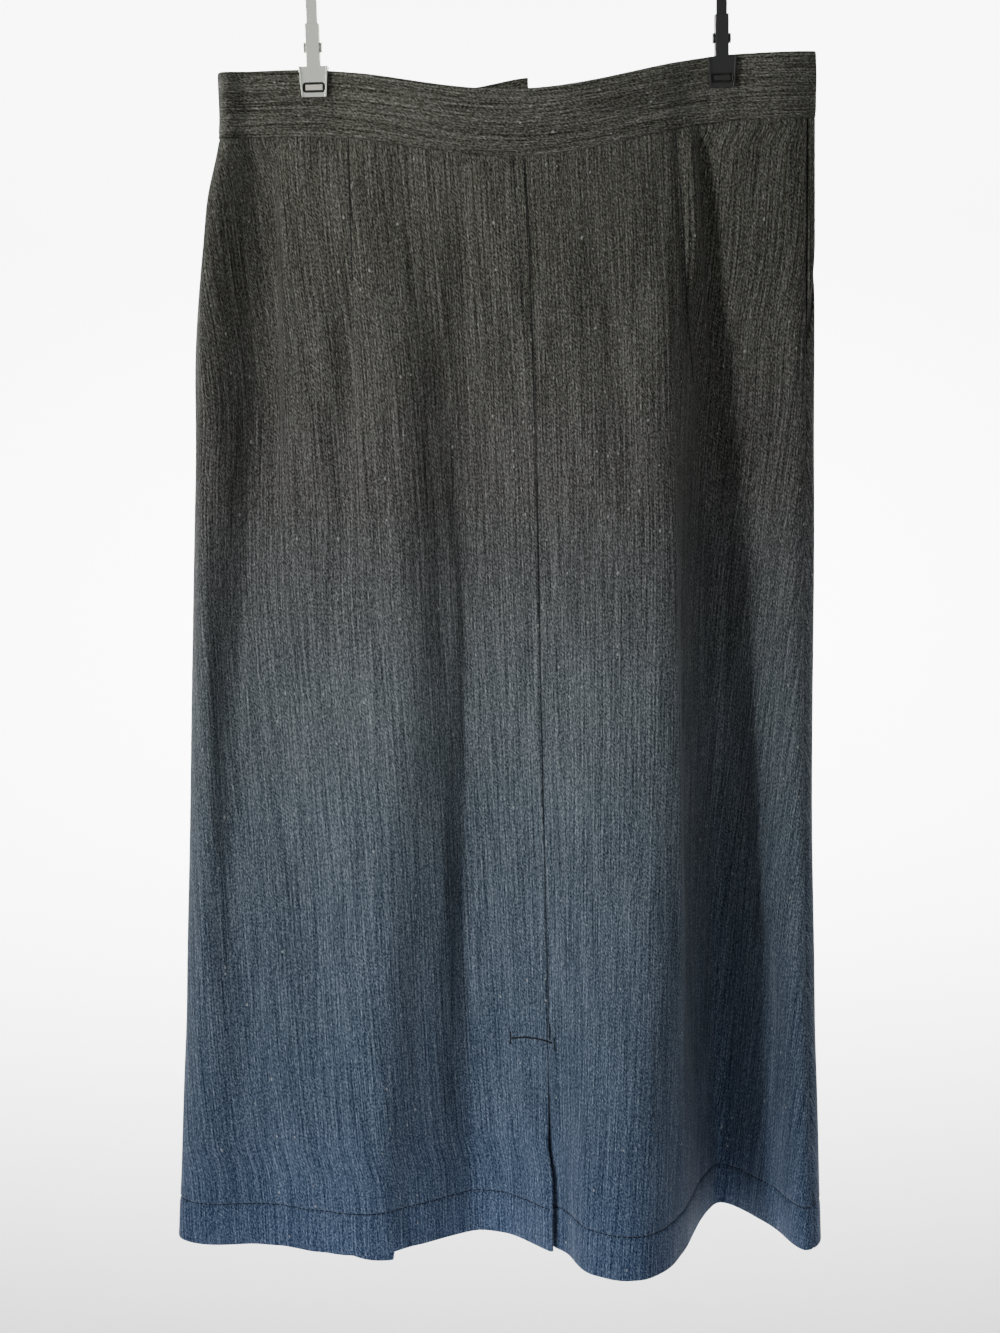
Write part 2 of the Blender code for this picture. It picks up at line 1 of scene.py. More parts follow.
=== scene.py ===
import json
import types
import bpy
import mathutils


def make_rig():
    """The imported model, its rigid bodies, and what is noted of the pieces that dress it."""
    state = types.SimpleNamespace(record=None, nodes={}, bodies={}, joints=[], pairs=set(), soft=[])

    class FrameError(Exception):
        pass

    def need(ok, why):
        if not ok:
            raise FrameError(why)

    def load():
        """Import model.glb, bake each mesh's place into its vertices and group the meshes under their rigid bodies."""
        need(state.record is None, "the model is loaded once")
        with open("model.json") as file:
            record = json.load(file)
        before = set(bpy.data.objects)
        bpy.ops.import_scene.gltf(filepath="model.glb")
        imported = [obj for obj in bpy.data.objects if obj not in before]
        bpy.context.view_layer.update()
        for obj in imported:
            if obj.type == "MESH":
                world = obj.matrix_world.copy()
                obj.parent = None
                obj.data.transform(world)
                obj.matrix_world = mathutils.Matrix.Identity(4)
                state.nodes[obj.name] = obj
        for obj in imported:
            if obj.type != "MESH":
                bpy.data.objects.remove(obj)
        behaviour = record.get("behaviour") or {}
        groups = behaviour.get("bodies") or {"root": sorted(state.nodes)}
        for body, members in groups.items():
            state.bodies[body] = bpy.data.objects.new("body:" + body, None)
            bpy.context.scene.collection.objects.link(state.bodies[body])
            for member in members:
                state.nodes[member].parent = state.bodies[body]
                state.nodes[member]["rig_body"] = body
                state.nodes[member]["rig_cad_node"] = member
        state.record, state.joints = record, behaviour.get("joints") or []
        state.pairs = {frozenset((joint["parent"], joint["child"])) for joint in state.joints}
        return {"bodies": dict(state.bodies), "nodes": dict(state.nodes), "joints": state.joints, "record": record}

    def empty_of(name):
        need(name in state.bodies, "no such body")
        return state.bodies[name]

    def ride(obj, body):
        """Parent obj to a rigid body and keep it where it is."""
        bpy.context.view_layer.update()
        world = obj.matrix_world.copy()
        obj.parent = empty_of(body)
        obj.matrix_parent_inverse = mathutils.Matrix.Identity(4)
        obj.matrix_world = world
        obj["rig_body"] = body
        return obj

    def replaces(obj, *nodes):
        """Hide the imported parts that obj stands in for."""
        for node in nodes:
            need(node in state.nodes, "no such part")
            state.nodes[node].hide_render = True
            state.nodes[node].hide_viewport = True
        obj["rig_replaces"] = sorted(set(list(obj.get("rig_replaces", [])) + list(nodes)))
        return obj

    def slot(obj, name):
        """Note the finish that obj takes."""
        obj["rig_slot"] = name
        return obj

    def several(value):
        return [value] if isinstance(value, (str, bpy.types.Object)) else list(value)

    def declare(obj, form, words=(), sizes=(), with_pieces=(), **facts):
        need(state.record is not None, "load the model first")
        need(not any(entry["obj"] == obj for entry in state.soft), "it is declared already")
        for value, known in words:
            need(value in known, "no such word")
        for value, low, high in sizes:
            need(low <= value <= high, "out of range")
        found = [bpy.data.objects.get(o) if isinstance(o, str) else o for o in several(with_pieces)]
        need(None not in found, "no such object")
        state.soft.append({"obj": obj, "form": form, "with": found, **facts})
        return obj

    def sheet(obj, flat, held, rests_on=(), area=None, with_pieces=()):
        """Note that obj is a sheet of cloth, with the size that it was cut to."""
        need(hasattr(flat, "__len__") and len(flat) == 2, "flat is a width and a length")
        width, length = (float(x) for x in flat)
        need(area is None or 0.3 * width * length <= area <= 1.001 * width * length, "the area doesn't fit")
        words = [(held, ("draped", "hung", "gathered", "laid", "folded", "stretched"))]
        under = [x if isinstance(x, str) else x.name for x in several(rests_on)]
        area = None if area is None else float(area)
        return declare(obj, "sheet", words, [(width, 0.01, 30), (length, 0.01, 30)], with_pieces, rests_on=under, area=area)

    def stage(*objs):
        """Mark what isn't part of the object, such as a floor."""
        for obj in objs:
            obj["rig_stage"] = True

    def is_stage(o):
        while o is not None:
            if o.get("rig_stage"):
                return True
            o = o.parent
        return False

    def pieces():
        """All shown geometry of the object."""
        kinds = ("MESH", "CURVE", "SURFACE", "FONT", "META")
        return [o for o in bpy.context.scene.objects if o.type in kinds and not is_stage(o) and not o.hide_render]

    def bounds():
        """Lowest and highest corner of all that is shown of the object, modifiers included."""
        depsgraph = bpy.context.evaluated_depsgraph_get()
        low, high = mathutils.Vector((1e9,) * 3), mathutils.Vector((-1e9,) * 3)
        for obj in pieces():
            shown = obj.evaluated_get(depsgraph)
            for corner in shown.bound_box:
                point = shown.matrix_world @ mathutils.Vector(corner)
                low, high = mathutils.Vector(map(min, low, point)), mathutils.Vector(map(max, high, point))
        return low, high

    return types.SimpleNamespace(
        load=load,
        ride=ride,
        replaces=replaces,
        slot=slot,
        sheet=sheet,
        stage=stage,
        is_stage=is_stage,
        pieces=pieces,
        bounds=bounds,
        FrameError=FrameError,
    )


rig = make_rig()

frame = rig.load()

# Midi skirt hanging from a wire clip hanger, seen from its back, in charcoal denim
# with a painted light tint that turns it bluer towards the hem. The cloth shells follow
# the imported solids' folds on a finer grid, with creases, puckered stitching and rolled edges of their own.
# Heights along the skirt are measured up from its hem; drop_from_hook turns them
# into world heights.

import json
import math

import bpy
import numpy as np
from mathutils import Matrix, Vector

with open("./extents.json", "w") as notes:
    json.dump({"after_load": [list(map(float, side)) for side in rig.bounds()]}, notes)

mm = 0.001

# Sizes of the cloth, as the solids have them

waist_top = 773.5 * mm
waist_sag = 16.5 * mm
sag_reach = 140 * mm
waist_tilt = 0.0125
hip_round = 7 * mm
hip_round_height = 690 * mm
hip_round_low = 170 * mm
hip_round_high = 55 * mm
hip_round_reach = 70 * mm
band_height = 39 * mm
band_wall = 2.6 * mm
band_proud = 0.6 * mm
cloth_wall = 1.4 * mm
hem_wall = 2.6 * mm
hem_depth = 30 * mm
hem_step = 2.5 * mm
seam_gap = 0.3 * mm
lap_step = 3.3 * mm
lap_flush = 6 * mm
lap_ease = 34 * mm
tab_lift = 8 * mm
tab_length = 46 * mm
corner_droop = 10.5 * mm
corner_length = 75 * mm
front_hem_rise = 3 * mm
front_hem_run = 120 * mm
vent_height = 148 * mm
vent_under = 25 * mm
vent_root = 11 * mm
vent_lift = 3.2 * mm
vent_reach = 30 * mm
vent_overlap = 4 * mm
flap_cover_start = 0.45
flap_cover_run = 0.3
underlap_depth = 3.3 * mm
underlap_wall = 1.2 * mm
underlap_foot = 3 * mm
pocket_drop = 137 * mm
pocket_width = 38 * mm
pocket_lap = 7 * mm
pocket_tuck = 2.3 * mm
tuck_run = 9 * mm
pocket_wall = 1.2 * mm
hip_clearance = 1.2 * mm
hip_piece_below = 8 * mm
pocket_gape = 3.4 * mm
pocket_gape_height = 619 * mm
pocket_gape_length = 17 * mm
pocket_gape_reach = 12 * mm
hook_drop = 147 * mm
clip_places = (-124 * mm, 123 * mm)
grip_depth = 2.5 * mm
grip_half = 11 * mm
grip_ease = 26 * mm
grip_start = 700 * mm
grip_run = 50 * mm
clip_gap = 0.3 * mm
clip_sheet = 1.2 * mm
clip_bite = 18 * mm

panel_tall = waist_top - band_height
mouth_low = panel_tall - pocket_drop

# Fold lines around the loop, in millimetres, as the solids have them

fold_heights = (0 * mm, 280 * mm, 580 * mm, 750 * mm)

FOLDS = (
    # name               across: hem, knee, hip, waist      depth: hem, knee, hip, waist
    ("left edge",        (-250, -227, -204, -182),          (24, 16, 4, 0)),
    ("left flare",       (-230, -215, -197, -177),          (9, -4, -13, -9)),
    ("left dip",         (-190, -194, -164, -157),          (8, 4, 2, -2)),
    ("left slope",       (-156, -146, -130, -124),          (-4, -6, -11, -10)),
    ("left ridge",       (-118, -94, -80, -98),             (-13, -20, -17, -12)),
    ("left fall",        (-84, -64, -54, -66),              (1, -4, -9, -15)),
    ("middle dip",       (-41, -42, -32, -32),              (21, 12, -6, -17)),
    ("centre back",      (5, 6, 5, 2),                      (-8, -10, -16, -18)),
    ("right climb",      (32, 42, 42, 40),                  (-47, -35, -24, -17)),
    ("right ridge",      (64, 74, 78, 74),                  (-56, -46, -30, -13)),
    ("wall top",         (90, 94, 96, 100),                 (-28, -29, -22, -9)),
    ("wall foot",        (110, 110, 108, 116),              (28, 15, 1, -8)),
    ("right dip",        (126, 124, 122, 132),              (54, 31, 8, -8)),
    ("right rise",       (152, 148, 146, 150),              (26, 12, 0, -8)),
    ("edge ridge",       (174, 168, 167, 168),              (-19, -13, -9, -6)),
    ("right edge",       (188, 181, 181, 180),              (-5, -2, 0, 0)),
    ("front right side", (180, 173, 171, 167),              (28, 21, 13, 6)),
    ("front flank",      (156, 150, 148, 148),              (62, 46, 26, 9)),
    ("front dip back",   (124, 124, 124, 124),              (80, 60, 34, 11)),
    ("front fall",       (94, 98, 100, 98),                 (56, 44, 28, 13)),
    ("front ridge",      (64, 70, 74, 72),                  (20, 20, 20, 15)),
    ("front slope",      (32, 38, 40, 40),                  (34, 28, 26, 18)),
    ("centre front",     (2, 4, 4, 6),                      (64, 50, 36, 20)),
    ("front swell",      (-32, -28, -28, -28),              (70, 54, 36, 19)),
    ("front tuck",       (-66, -60, -60, -60),              (38, 32, 26, 17)),
    ("front nest",       (-98, -90, -92, -94),              (8, 12, 18, 14)),
    ("front lift",       (-132, -122, -124, -124),          (12, 18, 22, 11)),
    ("front left swell", (-164, -152, -152, -150),          (56, 48, 32, 9)),
    ("front left back",  (-200, -184, -178, -168),          (88, 60, 28, 7)),
    ("front left side",  (-234, -212, -197, -179),          (62, 40, 18, 4)),
)

centre_back_row = 7
right_edge_row = 15
left_seam_past_edge = 6 * mm
right_seam_short = 9 * mm
inner_front_rows = (25.15, 22.0)
outer_front_rows = (27.1, 23.9)

# Creases, in millimetres: soft troughs where the height is negative
# and ridges where it is positive, from a top end to a bottom end. Each falls away
# over its own width to the left and to the right of its line.

CREASES = (
    # side     top: across, height   bottom: across, height   left, right   height
    ("back",   (-104, 737),          (-105, 640),             2.0, 2.0,     -0.7),
    ("back",   (-104, 700),          (-114, 430),             13, 5,        -4.2),
    ("back",   (-92, 640),           (-99, 470),              10, 10,       1.0),
    ("back",   (-152, 780),          (-159, 490),             16, 4.5,      -7.0),
    ("back",   (-166, 590),          (-196, 320),             13, 7,        -2.6),
    ("back",   (-148, 700),          (-158, 420),             9, 16,        1.0),
    ("back",   (-33, 735),           (-43, 420),              15, 8,        -2.6),
    ("back",   (-78, 660),           (-76, 420),              12, 14,       1.4),
    ("back",   (-43, 600),           (-39, 30),               34, 32,       6.2),
    ("back",   (-180, 340),          (-174, 20),              25, 22,       3.4),
    ("back",   (-66, 360),           (-60, 90),               9, 9,         0.8),
    ("back",   (54, 700),            (60, 470),               11, 8,        -2.4),
    ("back",   (38, 690),            (44, 520),               12, 12,       0.8),
    ("back",   (91, 800),            (103, 560),              2.2, 5,       -2.2),
    ("back",   (97, 790),            (113, 580),              4.5, 4.0,     2.4),
    ("back",   (105, 800),           (123, 545),              3.2, 13,      -6.2),
    ("back",   (98, 590),            (101, 60),               4.0, 9,       -3.6),
    ("back",   (86, 735),            (90, 60),                17, 3.5,      3.8),
    ("back",   (140, 255),           (164, 110),              7, 7,         -1.6),
    ("back",   (131, 560),           (134, 330),              8, 8,         1.0),
    ("back",   (-140, 380),          (-150, 140),             9, 9,         -1.2),
    ("back",   (-20, 330),           (-24, 120),              10, 10,       -1.0),
    ("back",   (70, 330),            (58, 60),                12, 12,       1.2),
    ("back",   (24, 260),            (20, 60),                9, 9,         -1.0),
    ("front",  (-108, 736),          (-112, 560),             8, 5,         -1.8),
    ("front",  (100, 736),           (108, 560),              5, 8,         -2.0),
    ("front",  (60, 700),            (70, 420),               11, 8,        -1.8),
    ("front",  (-20, 640),           (-26, 300),              12, 9,        -1.8),
    ("front",  (20, 420),            (24, 120),               12, 12,       1.4),
    ("front",  (140, 560),           (150, 250),              10, 7,        -1.8),
    ("front",  (-176, 600),          (-190, 330),             10, 10,       1.4),
    ("front",  (-80, 420),           (-84, 160),              9, 9,         -1.4),
)

# Creases of the waistband, pinched up under the clips

BAND_CREASES = (
    # side     top: across, height   bottom: across, height   left, right   height
    ("back",   (-166, 790),          (-165, 710),             14, 4,        -2.6),
    ("back",   (117, 757),           (113, 730),              2.4, 1.4,     -1.2),
    ("back",   (133, 757),           (134, 732),              1.6, 3.0,     -1.1),
    ("back",   (125, 756),           (123, 734),              3.0, 3.0,     0.7),
    ("back",   (-133, 757),          (-138, 734),             2.2, 2.2,     -0.6),
    ("back",   (-113, 757),          (-108, 732),             2.2, 2.2,     -0.6),
    ("front",  (116, 757),           (110, 732),              2.4, 2.4,     -0.7),
    ("front",  (-114, 757),          (-108, 732),             2.4, 2.4,     -0.7),
)

# Slow ripples that keep the cloth from looking pressed, in millimetres

RIPPLES = (
    # height  across  along  turn
    (0.34,    47,     410,   0.6),
    (0.26,    31,     290,   2.1),
    (0.16,    19,     170,   4.4),
)
ripple_wander = 1.3
ripple_wander_pace = 2.1
ripple_kept_at_band = 0.3
ripple_calm_start = 690 * mm
ripple_calm_run = 40 * mm

# A crease fades in and out over this share of its length, and the band holds
# the panels down to this share of their creases

crease_fade = 0.3
crease_kept_at_band = 0.2
crease_hold = 16 * mm

# Stitched ditches, and the puckers that their thread draws up

hem_ditch = 0.8 * mm
hem_ditch_width = 1.1 * mm
hem_pucker = 0.17 * mm
hem_pucker_reach = 9 * mm
hem_pucker_wave = 11.3 * mm
hem_pucker_cross = 7.1 * mm
hem_pucker_patch = 83 * mm
hem_swell = 0.22 * mm
hem_swell_top = 26 * mm
hem_swell_run = 3 * mm
seam_pucker = 0.22 * mm
seam_pucker_wave = 17 * mm
seam_pucker_patch = 61 * mm
seam_pucker_reach = 7 * mm
band_wave = 0.16 * mm
band_wave_length = 37 * mm
band_ripple = 0.12 * mm
band_ripple_length = 14 * mm
band_ditch = 0.35 * mm
band_ditch_rise = 2.2 * mm
band_ditch_width = 0.8 * mm
band_pucker = 0.12 * mm
band_pucker_wave = 8.3 * mm
band_pucker_reach = 7 * mm

# Cloth edges are rolled in by this much, over this run, on closely set places

roll_depth = 0.45 * mm
roll_run = 2.0 * mm
edge_offsets = (0.0 * mm, 0.5 * mm, 1.1 * mm, 2.0 * mm)


def ease(value):
    """A soft step from 0 to 1."""
    t = np.clip(value, 0.0, 1.0)
    return t * t * (3.0 - 2.0 * t)


def drop_from_hook(points):
    return points - np.array([0.0, 0.0, waist_top + hook_drop])


# The folded loop, on whole arrays of places at once


def make_loop():
    rows = np.array([np.stack([across, depth], axis=-1) for _, across, depth in FOLDS])
    rows = rows.astype(float) * mm
    steps = np.linalg.norm(np.roll(rows, -1, axis=0) - rows, axis=2).mean(axis=1)
    knots = np.concatenate([[0.0], np.cumsum(steps)])
    length = knots[-1]
    knots = knots[:-1]
    after = np.append(knots[1:], length)
    before = np.append(knots[-1] - length, knots[:-1])
    slopes = (np.roll(rows, -1, axis=0) - np.roll(rows, 1, axis=0)) / (after - before)[:, None, None]
    return rows, slopes, knots, length


ROWS, SLOPES, KNOTS, LOOP = make_loop()
HEIGHTS = np.array(fold_heights)


def blend(p0, p1, m0, m1, span, t):
    """A cubic between two values that leaves each at its own slope, and its slope."""
    value = ((2 * t**3 - 3 * t**2 + 1) * p0 + (t**3 - 2 * t**2 + t) * span * m0
             + (3 * t**2 - 2 * t**3) * p1 + (t**3 - t**2) * span * m1)
    slope = ((6 * t**2 - 6 * t) * (p0 - p1) / span + (3 * t**2 - 4 * t + 1) * m0
             + (3 * t**2 - 2 * t) * m1)
    return value, slope


def between_heights(values, height):
    """Blend the four heights' values at each place's own height."""
    h = np.clip(height, HEIGHTS[0], HEIGHTS[-1])
    i = np.clip(np.searchsorted(HEIGHTS, h, side="right") - 1, 0, len(HEIGHTS) - 2)
    slopes = np.zeros_like(values)
    slopes[:, 0] = (values[:, 1] - values[:, 0]) / (HEIGHTS[1] - HEIGHTS[0])
    for k in range(1, len(HEIGHTS) - 1):
        slopes[:, k] = (values[:, k + 1] - values[:, k - 1]) / (HEIGHTS[k + 1] - HEIGHTS[k - 1])
    n = np.arange(len(h))
    span = (HEIGHTS[i + 1] - HEIGHTS[i])[:, None]
    t = ((h - HEIGHTS[i]) / span[:, 0])[:, None]
    value, _ = blend(values[n, i], values[n, i + 1], slopes[n, i], slopes[n, i + 1], span, t)
    return value


def on_back(u):
    return (u % LOOP) < KNOTS[right_edge_row]


def loop_points(u, height):
    """Points and inward directions on the folded loop."""
    u = u % LOOP
    i = np.searchsorted(KNOTS, u, side="right") - 1
    j = (i + 1) % len(KNOTS)
    span = (np.where(j > 0, KNOTS[j], LOOP) - KNOTS[i])[:, None, None]
    t = (u - KNOTS[i])[:, None, None] / span
    place, slope = blend(ROWS[i], ROWS[j], SLOPES[i], SLOPES[j], span, t)
    point = between_heights(place, height)
    along = between_heights(slope, height)
    point, along = pinch(point, along, u, height)
    point[:, 0] -= hip_swell(point[:, 0], height)
    along = along / np.linalg.norm(along, axis=1)[:, None]
    return point, np.stack([-along[:, 1], along[:, 0]], axis=1)


def hip_swell(across, height):
    """How far the left edge rounds out at the hip."""
    away = height - hip_round_height
    fade = np.where(away > 0, away / hip_round_high, -away / hip_round_low)
    edge = (across - ROWS[0, -1, 0]) / hip_round_reach
    return hip_round * (1.0 - ease(fade)) * (1.0 - ease(edge))


def pinch(point, along, u, height):
    """Draw the loop together where the clips grip it."""
    high = ease((height - grip_start) / grip_run)
    side = np.where(u < KNOTS[right_edge_row], -1.0, 1.0)
    for place in clip_places:
        near = 1.0 - ease((np.abs(point[:, 0] - place) - grip_half) / grip_ease)
        grip = near * high
        point[:, 1] += (side * grip_depth - point[:, 1]) * grip
        along[:, 1] *= 1.0 - grip
    return point, along


def row_place(row):
    return float(np.interp(row, np.arange(len(KNOTS)), KNOTS))


left_seam = -left_seam_past_edge
right_seam = KNOTS[right_edge_row] - right_seam_short
centre_back = KNOTS[centre_back_row]
inner_low, inner_high = (row_place(row) for row in inner_front_rows)
outer_low, outer_high = (row_place(row) for row in outer_front_rows)


def inner_front_edge(height):
    return inner_low + (inner_high - inner_low) * height / waist_top


def outer_front_edge(height):
    return outer_low + (outer_high - outer_low) * height / waist_top


def band_top(u):
    point, _ = loop_points(u, np.full(len(u), waist_top))
    reach = np.minimum(np.abs(point[:, 0]) / sag_reach, 1.0)
    dip = waist_sag * 0.5 * (1.0 + np.cos(math.pi * reach))
    return waist_top + waist_tilt * point[:, 0] - dip


def band_foot(u):
    return band_top(u) - band_height


def pocket_edge_shift(height):
    return pocket_width * np.maximum(0.0, (height - mouth_low) / pocket_drop)


# Where each piece lies, as a shift inwards from the loop


def vent_open(height):
    return 1.0 - ease(height / vent_height)


def vent_spread(u, height):
    away = np.maximum(np.abs(u - centre_back) - vent_overlap, 0.0)
    return vent_lift * vent_open(height) * (1.0 - ease(away / vent_reach))


def vent_flap_edge(height):
    cover = vent_overlap * ease((vent_open(height) - flap_cover_start) / flap_cover_run)
    return centre_back - 0.5 * seam_gap + cover


def left_back_shift(u, height):
    return -vent_spread(u, height)


def lap_shift(u, height):
    past = (u % LOOP) - outer_front_edge(height)
    return lap_step * (1.0 - ease((past - lap_flush) / lap_ease))


def pocket_gape_at(u, height):
    tall = np.exp(-((height - pocket_gape_height) / pocket_gape_length) ** 2)
    edge = LOOP + left_seam - pocket_edge_shift(height)
    away = np.maximum(0.0, edge - (u % LOOP))
    return pocket_gape * tall * (1.0 - ease(away / pocket_gape_reach))


def inner_front_shift(u, height):
    return lap_shift(u, height) - pocket_gape_at(u, height)


def no_shift(u, height):
    return np.zeros_like(u)


def underlap_shift(u, height):
    return underlap_depth + vent_spread(np.maximum(u, centre_back), height)


outer_high_at_top = outer_front_edge(waist_top)


def band_shift(u, height):
    past = u - (outer_high_at_top - LOOP + lap_flush)
    return lap_step * (1.0 - ease(past / lap_ease)) - band_proud


def level_hem(u):
    return np.zeros_like(u)


def inner_front_hem(u):
    away = (u % LOOP) - inner_front_edge(0.0)
    return -corner_droop * (1.0 - ease(away / corner_length))


def outer_front_hem(u):
    return front_hem_rise * ease((u - right_seam) / front_hem_run)


# Relief: creases, ripples, stitched ditches and puckers, as heights outwards


def crease_relief(rows, across, height, back):
    total = np.zeros_like(across)
    for side, top, bottom, left, right, rise in rows:
        x0, z0 = top[0] * mm, top[1] * mm
        x1, z1 = bottom[0] * mm, bottom[1] * mm
        length = math.hypot(x1 - x0, z1 - z0)
        dx, dz = (x1 - x0) / length, (z1 - z0) / length
        along = ((across - x0) * dx + (height - z0) * dz) / length
        off = (height - z0) * dx - (across - x0) * dz
        width = np.where(off < 0, left, right) * mm
        share = ease(along / crease_fade) * ease((1.0 - along) / crease_fade)
        mine = back if side == "back" else ~back
        total += rise * mm * share * np.exp(-(off / width) ** 2) * mine
    return total


def ripple_relief(u, height):
    total = np.zeros_like(u)
    for rise, across, along, turn in RIPPLES:
        climb = height / (along * mm)
        slant = u / (across * mm) + climb
        wander = ripple_wander * np.sin(climb * ripple_wander_pace + turn)
        total += rise * mm * np.sin(2 * math.pi * slant + wander + turn)
    return total


def wave(place, length, turn=0.0):
    return np.sin(2 * math.pi * place / length + turn)


def bell(distance, width):
    return np.exp(-(distance / width) ** 2)


def hem_relief(u, height, foot):
    """The hem's stitched ditch, and the puckers that its thread draws up."""
    rise = height - foot
    ditch = -hem_ditch * bell(rise - hem_depth, hem_ditch_width)
    waves = wave(u, hem_pucker_wave) + 0.7 * wave(u, hem_pucker_cross, 1.3)
    patchy = 0.5 + 0.5 * wave(u, hem_pucker_patch, 0.7)
    puckers = hem_pucker * waves * patchy * bell(rise - hem_depth, hem_pucker_reach)
    turned = hem_swell * (1.0 - ease((rise - hem_swell_top) / hem_swell_run))
    return ditch + puckers + turned


def panel_relief(u, height, foot, point):
    calm = ease((height - ripple_calm_start) / ripple_calm_run)
    fade = 1.0 - (1.0 - ripple_kept_at_band) * calm
    near_band = ease(1.0 - (band_foot(u) - height) / crease_hold)
    held = 1.0 - (1.0 - crease_kept_at_band) * near_band
    rise = crease_relief(CREASES, point[:, 0], height, on_back(u)) * held
    rise += ripple_relief(u, height) * fade
    rise += hem_relief(u, height, foot)
    seam_waves = wave(height, seam_pucker_wave) * wave(height, seam_pucker_patch, 1.0)
    rise += seam_pucker * seam_waves * bell((u % LOOP) - centre_back, seam_pucker_reach)
    return rise


def band_relief(u, height, foot, point):
    up = height - foot
    share = up / band_height
    rise = crease_relief(BAND_CREASES, point[:, 0], height, on_back(u))
    rise += band_wave * wave(u, band_wave_length, 5 * share)
    rise += band_ripple * wave(u, band_ripple_length, 9 * share + 1.0)
    ditch = -band_ditch * bell(up - band_ditch_rise, band_ditch_width)
    puckers = band_pucker * wave(u, band_pucker_wave) * bell(up, band_pucker_reach)
    return rise + ditch + puckers


# Shells


def spread_between(start, end, step):
    """Places from start to end, close together at both edges."""
    inner_start = start + edge_offsets[-1]
    inner_end = end - edge_offsets[-1]
    count = max(int(round((inner_end - inner_start) / step)), 1)
    middle = np.linspace(inner_start, inner_end, count + 1)[1:-1]
    low = [start + offset for offset in edge_offsets]
    high = [end - offset for offset in reversed(edge_offsets)]
    return np.concatenate([low, middle, high])


def shares_of(places):
    return (places - places[0]) / (places[-1] - places[0])


def panel_heights(step):
    """Section heights: close at the hem, the hem's stitching and the band."""
    edge = [0.0, 0.45 * mm, 1.1 * mm, 2.2 * mm]
    beside = (-2.6, -1.6, -0.9, -0.4, 0.0, 0.4, 0.9, 1.6, 2.6)
    stitched = [hem_depth + offset * mm for offset in beside]
    low = np.arange(5.5 * mm, stitched[0] - 2 * mm, 4.0 * mm)
    count = int((panel_tall - stitched[-1]) / step)
    high = np.linspace(stitched[-1], panel_tall, count + 1)[1:-1]
    top = [panel_tall - 1.2 * mm, panel_tall - 0.5 * mm, panel_tall]
    return np.concatenate([edge, low, stitched, high[high < panel_tall - 2.5 * mm], top])


def edge_roll(distance):
    """How far an edge is rolled in, by its distance from the edge."""
    return roll_depth * (1.0 - ease(distance / roll_run)) ** 2


def placed(name, mesh, material):
    """A smooth object of one material, made from a mesh."""
    mesh.materials.clear()
    mesh.materials.append(material)
    mesh.shade_smooth()
    thing = bpy.data.objects.new(name, mesh)
    bpy.context.scene.collection.objects.link(thing)
    return thing


def shell(name, outside, inside, cloth_x, cloth_y, material):
    """A closed thin shell with its cloth coordinates."""
    rows, columns, _ = outside.shape
    count = rows * columns
    points = np.concatenate([outside.reshape(-1, 3), inside.reshape(-1, 3)])
    index = np.arange(count).reshape(rows, columns)
    a, b = index[:-1, :-1].ravel(), index[:-1, 1:].ravel()
    c, d = index[1:, 1:].ravel(), index[1:, :-1].ravel()
    front = np.stack([a, b, c, d], axis=1)
    back = np.stack([d, c, b, a], axis=1) + count
    rim = np.concatenate([index[0, :-1], index[:-1, -1], index[-1, :0:-1], index[:0:-1, 0]])
    after = np.roll(rim, -1)
    edge = np.stack([after, rim, rim + count, after + count], axis=1)
    faces = np.concatenate([front, back, edge])
    mesh = bpy.data.meshes.new(name)
    mesh.vertices.add(len(points))
    mesh.vertices.foreach_set("co", drop_from_hook(points).ravel())
    mesh.loops.add(faces.size)
    mesh.loops.foreach_set("vertex_index", faces.ravel())
    mesh.polygons.add(len(faces))
    mesh.polygons.foreach_set("loop_start", np.arange(0, faces.size, 4))
    mesh.update(calc_edges=True)
    cloth = np.stack([cloth_x.ravel(), cloth_y.ravel()], axis=1)
    cloth = np.concatenate([cloth, cloth])[faces.ravel()]
    layer = mesh.uv_layers.new(name="cloth")
    layer.uv.foreach_set("vector", cloth.ravel())
    mesh.validate()
    return placed(name, mesh, material)


def lay_out(outside, flip=False):
    """Cloth coordinates from the shell's own lengths, across and along."""
    across = np.linalg.norm(np.diff(outside, axis=1), axis=2)
    across = np.concatenate([np.zeros((outside.shape[0], 1)), np.cumsum(across, axis=1)], axis=1)
    along = np.linalg.norm(np.diff(outside, axis=0), axis=2).mean(axis=1)
    along = np.concatenate([[0.0], np.cumsum(along)])[:, None] + np.zeros_like(across)
    if flip:
        across = across - across[:, -1:]
    return across, along


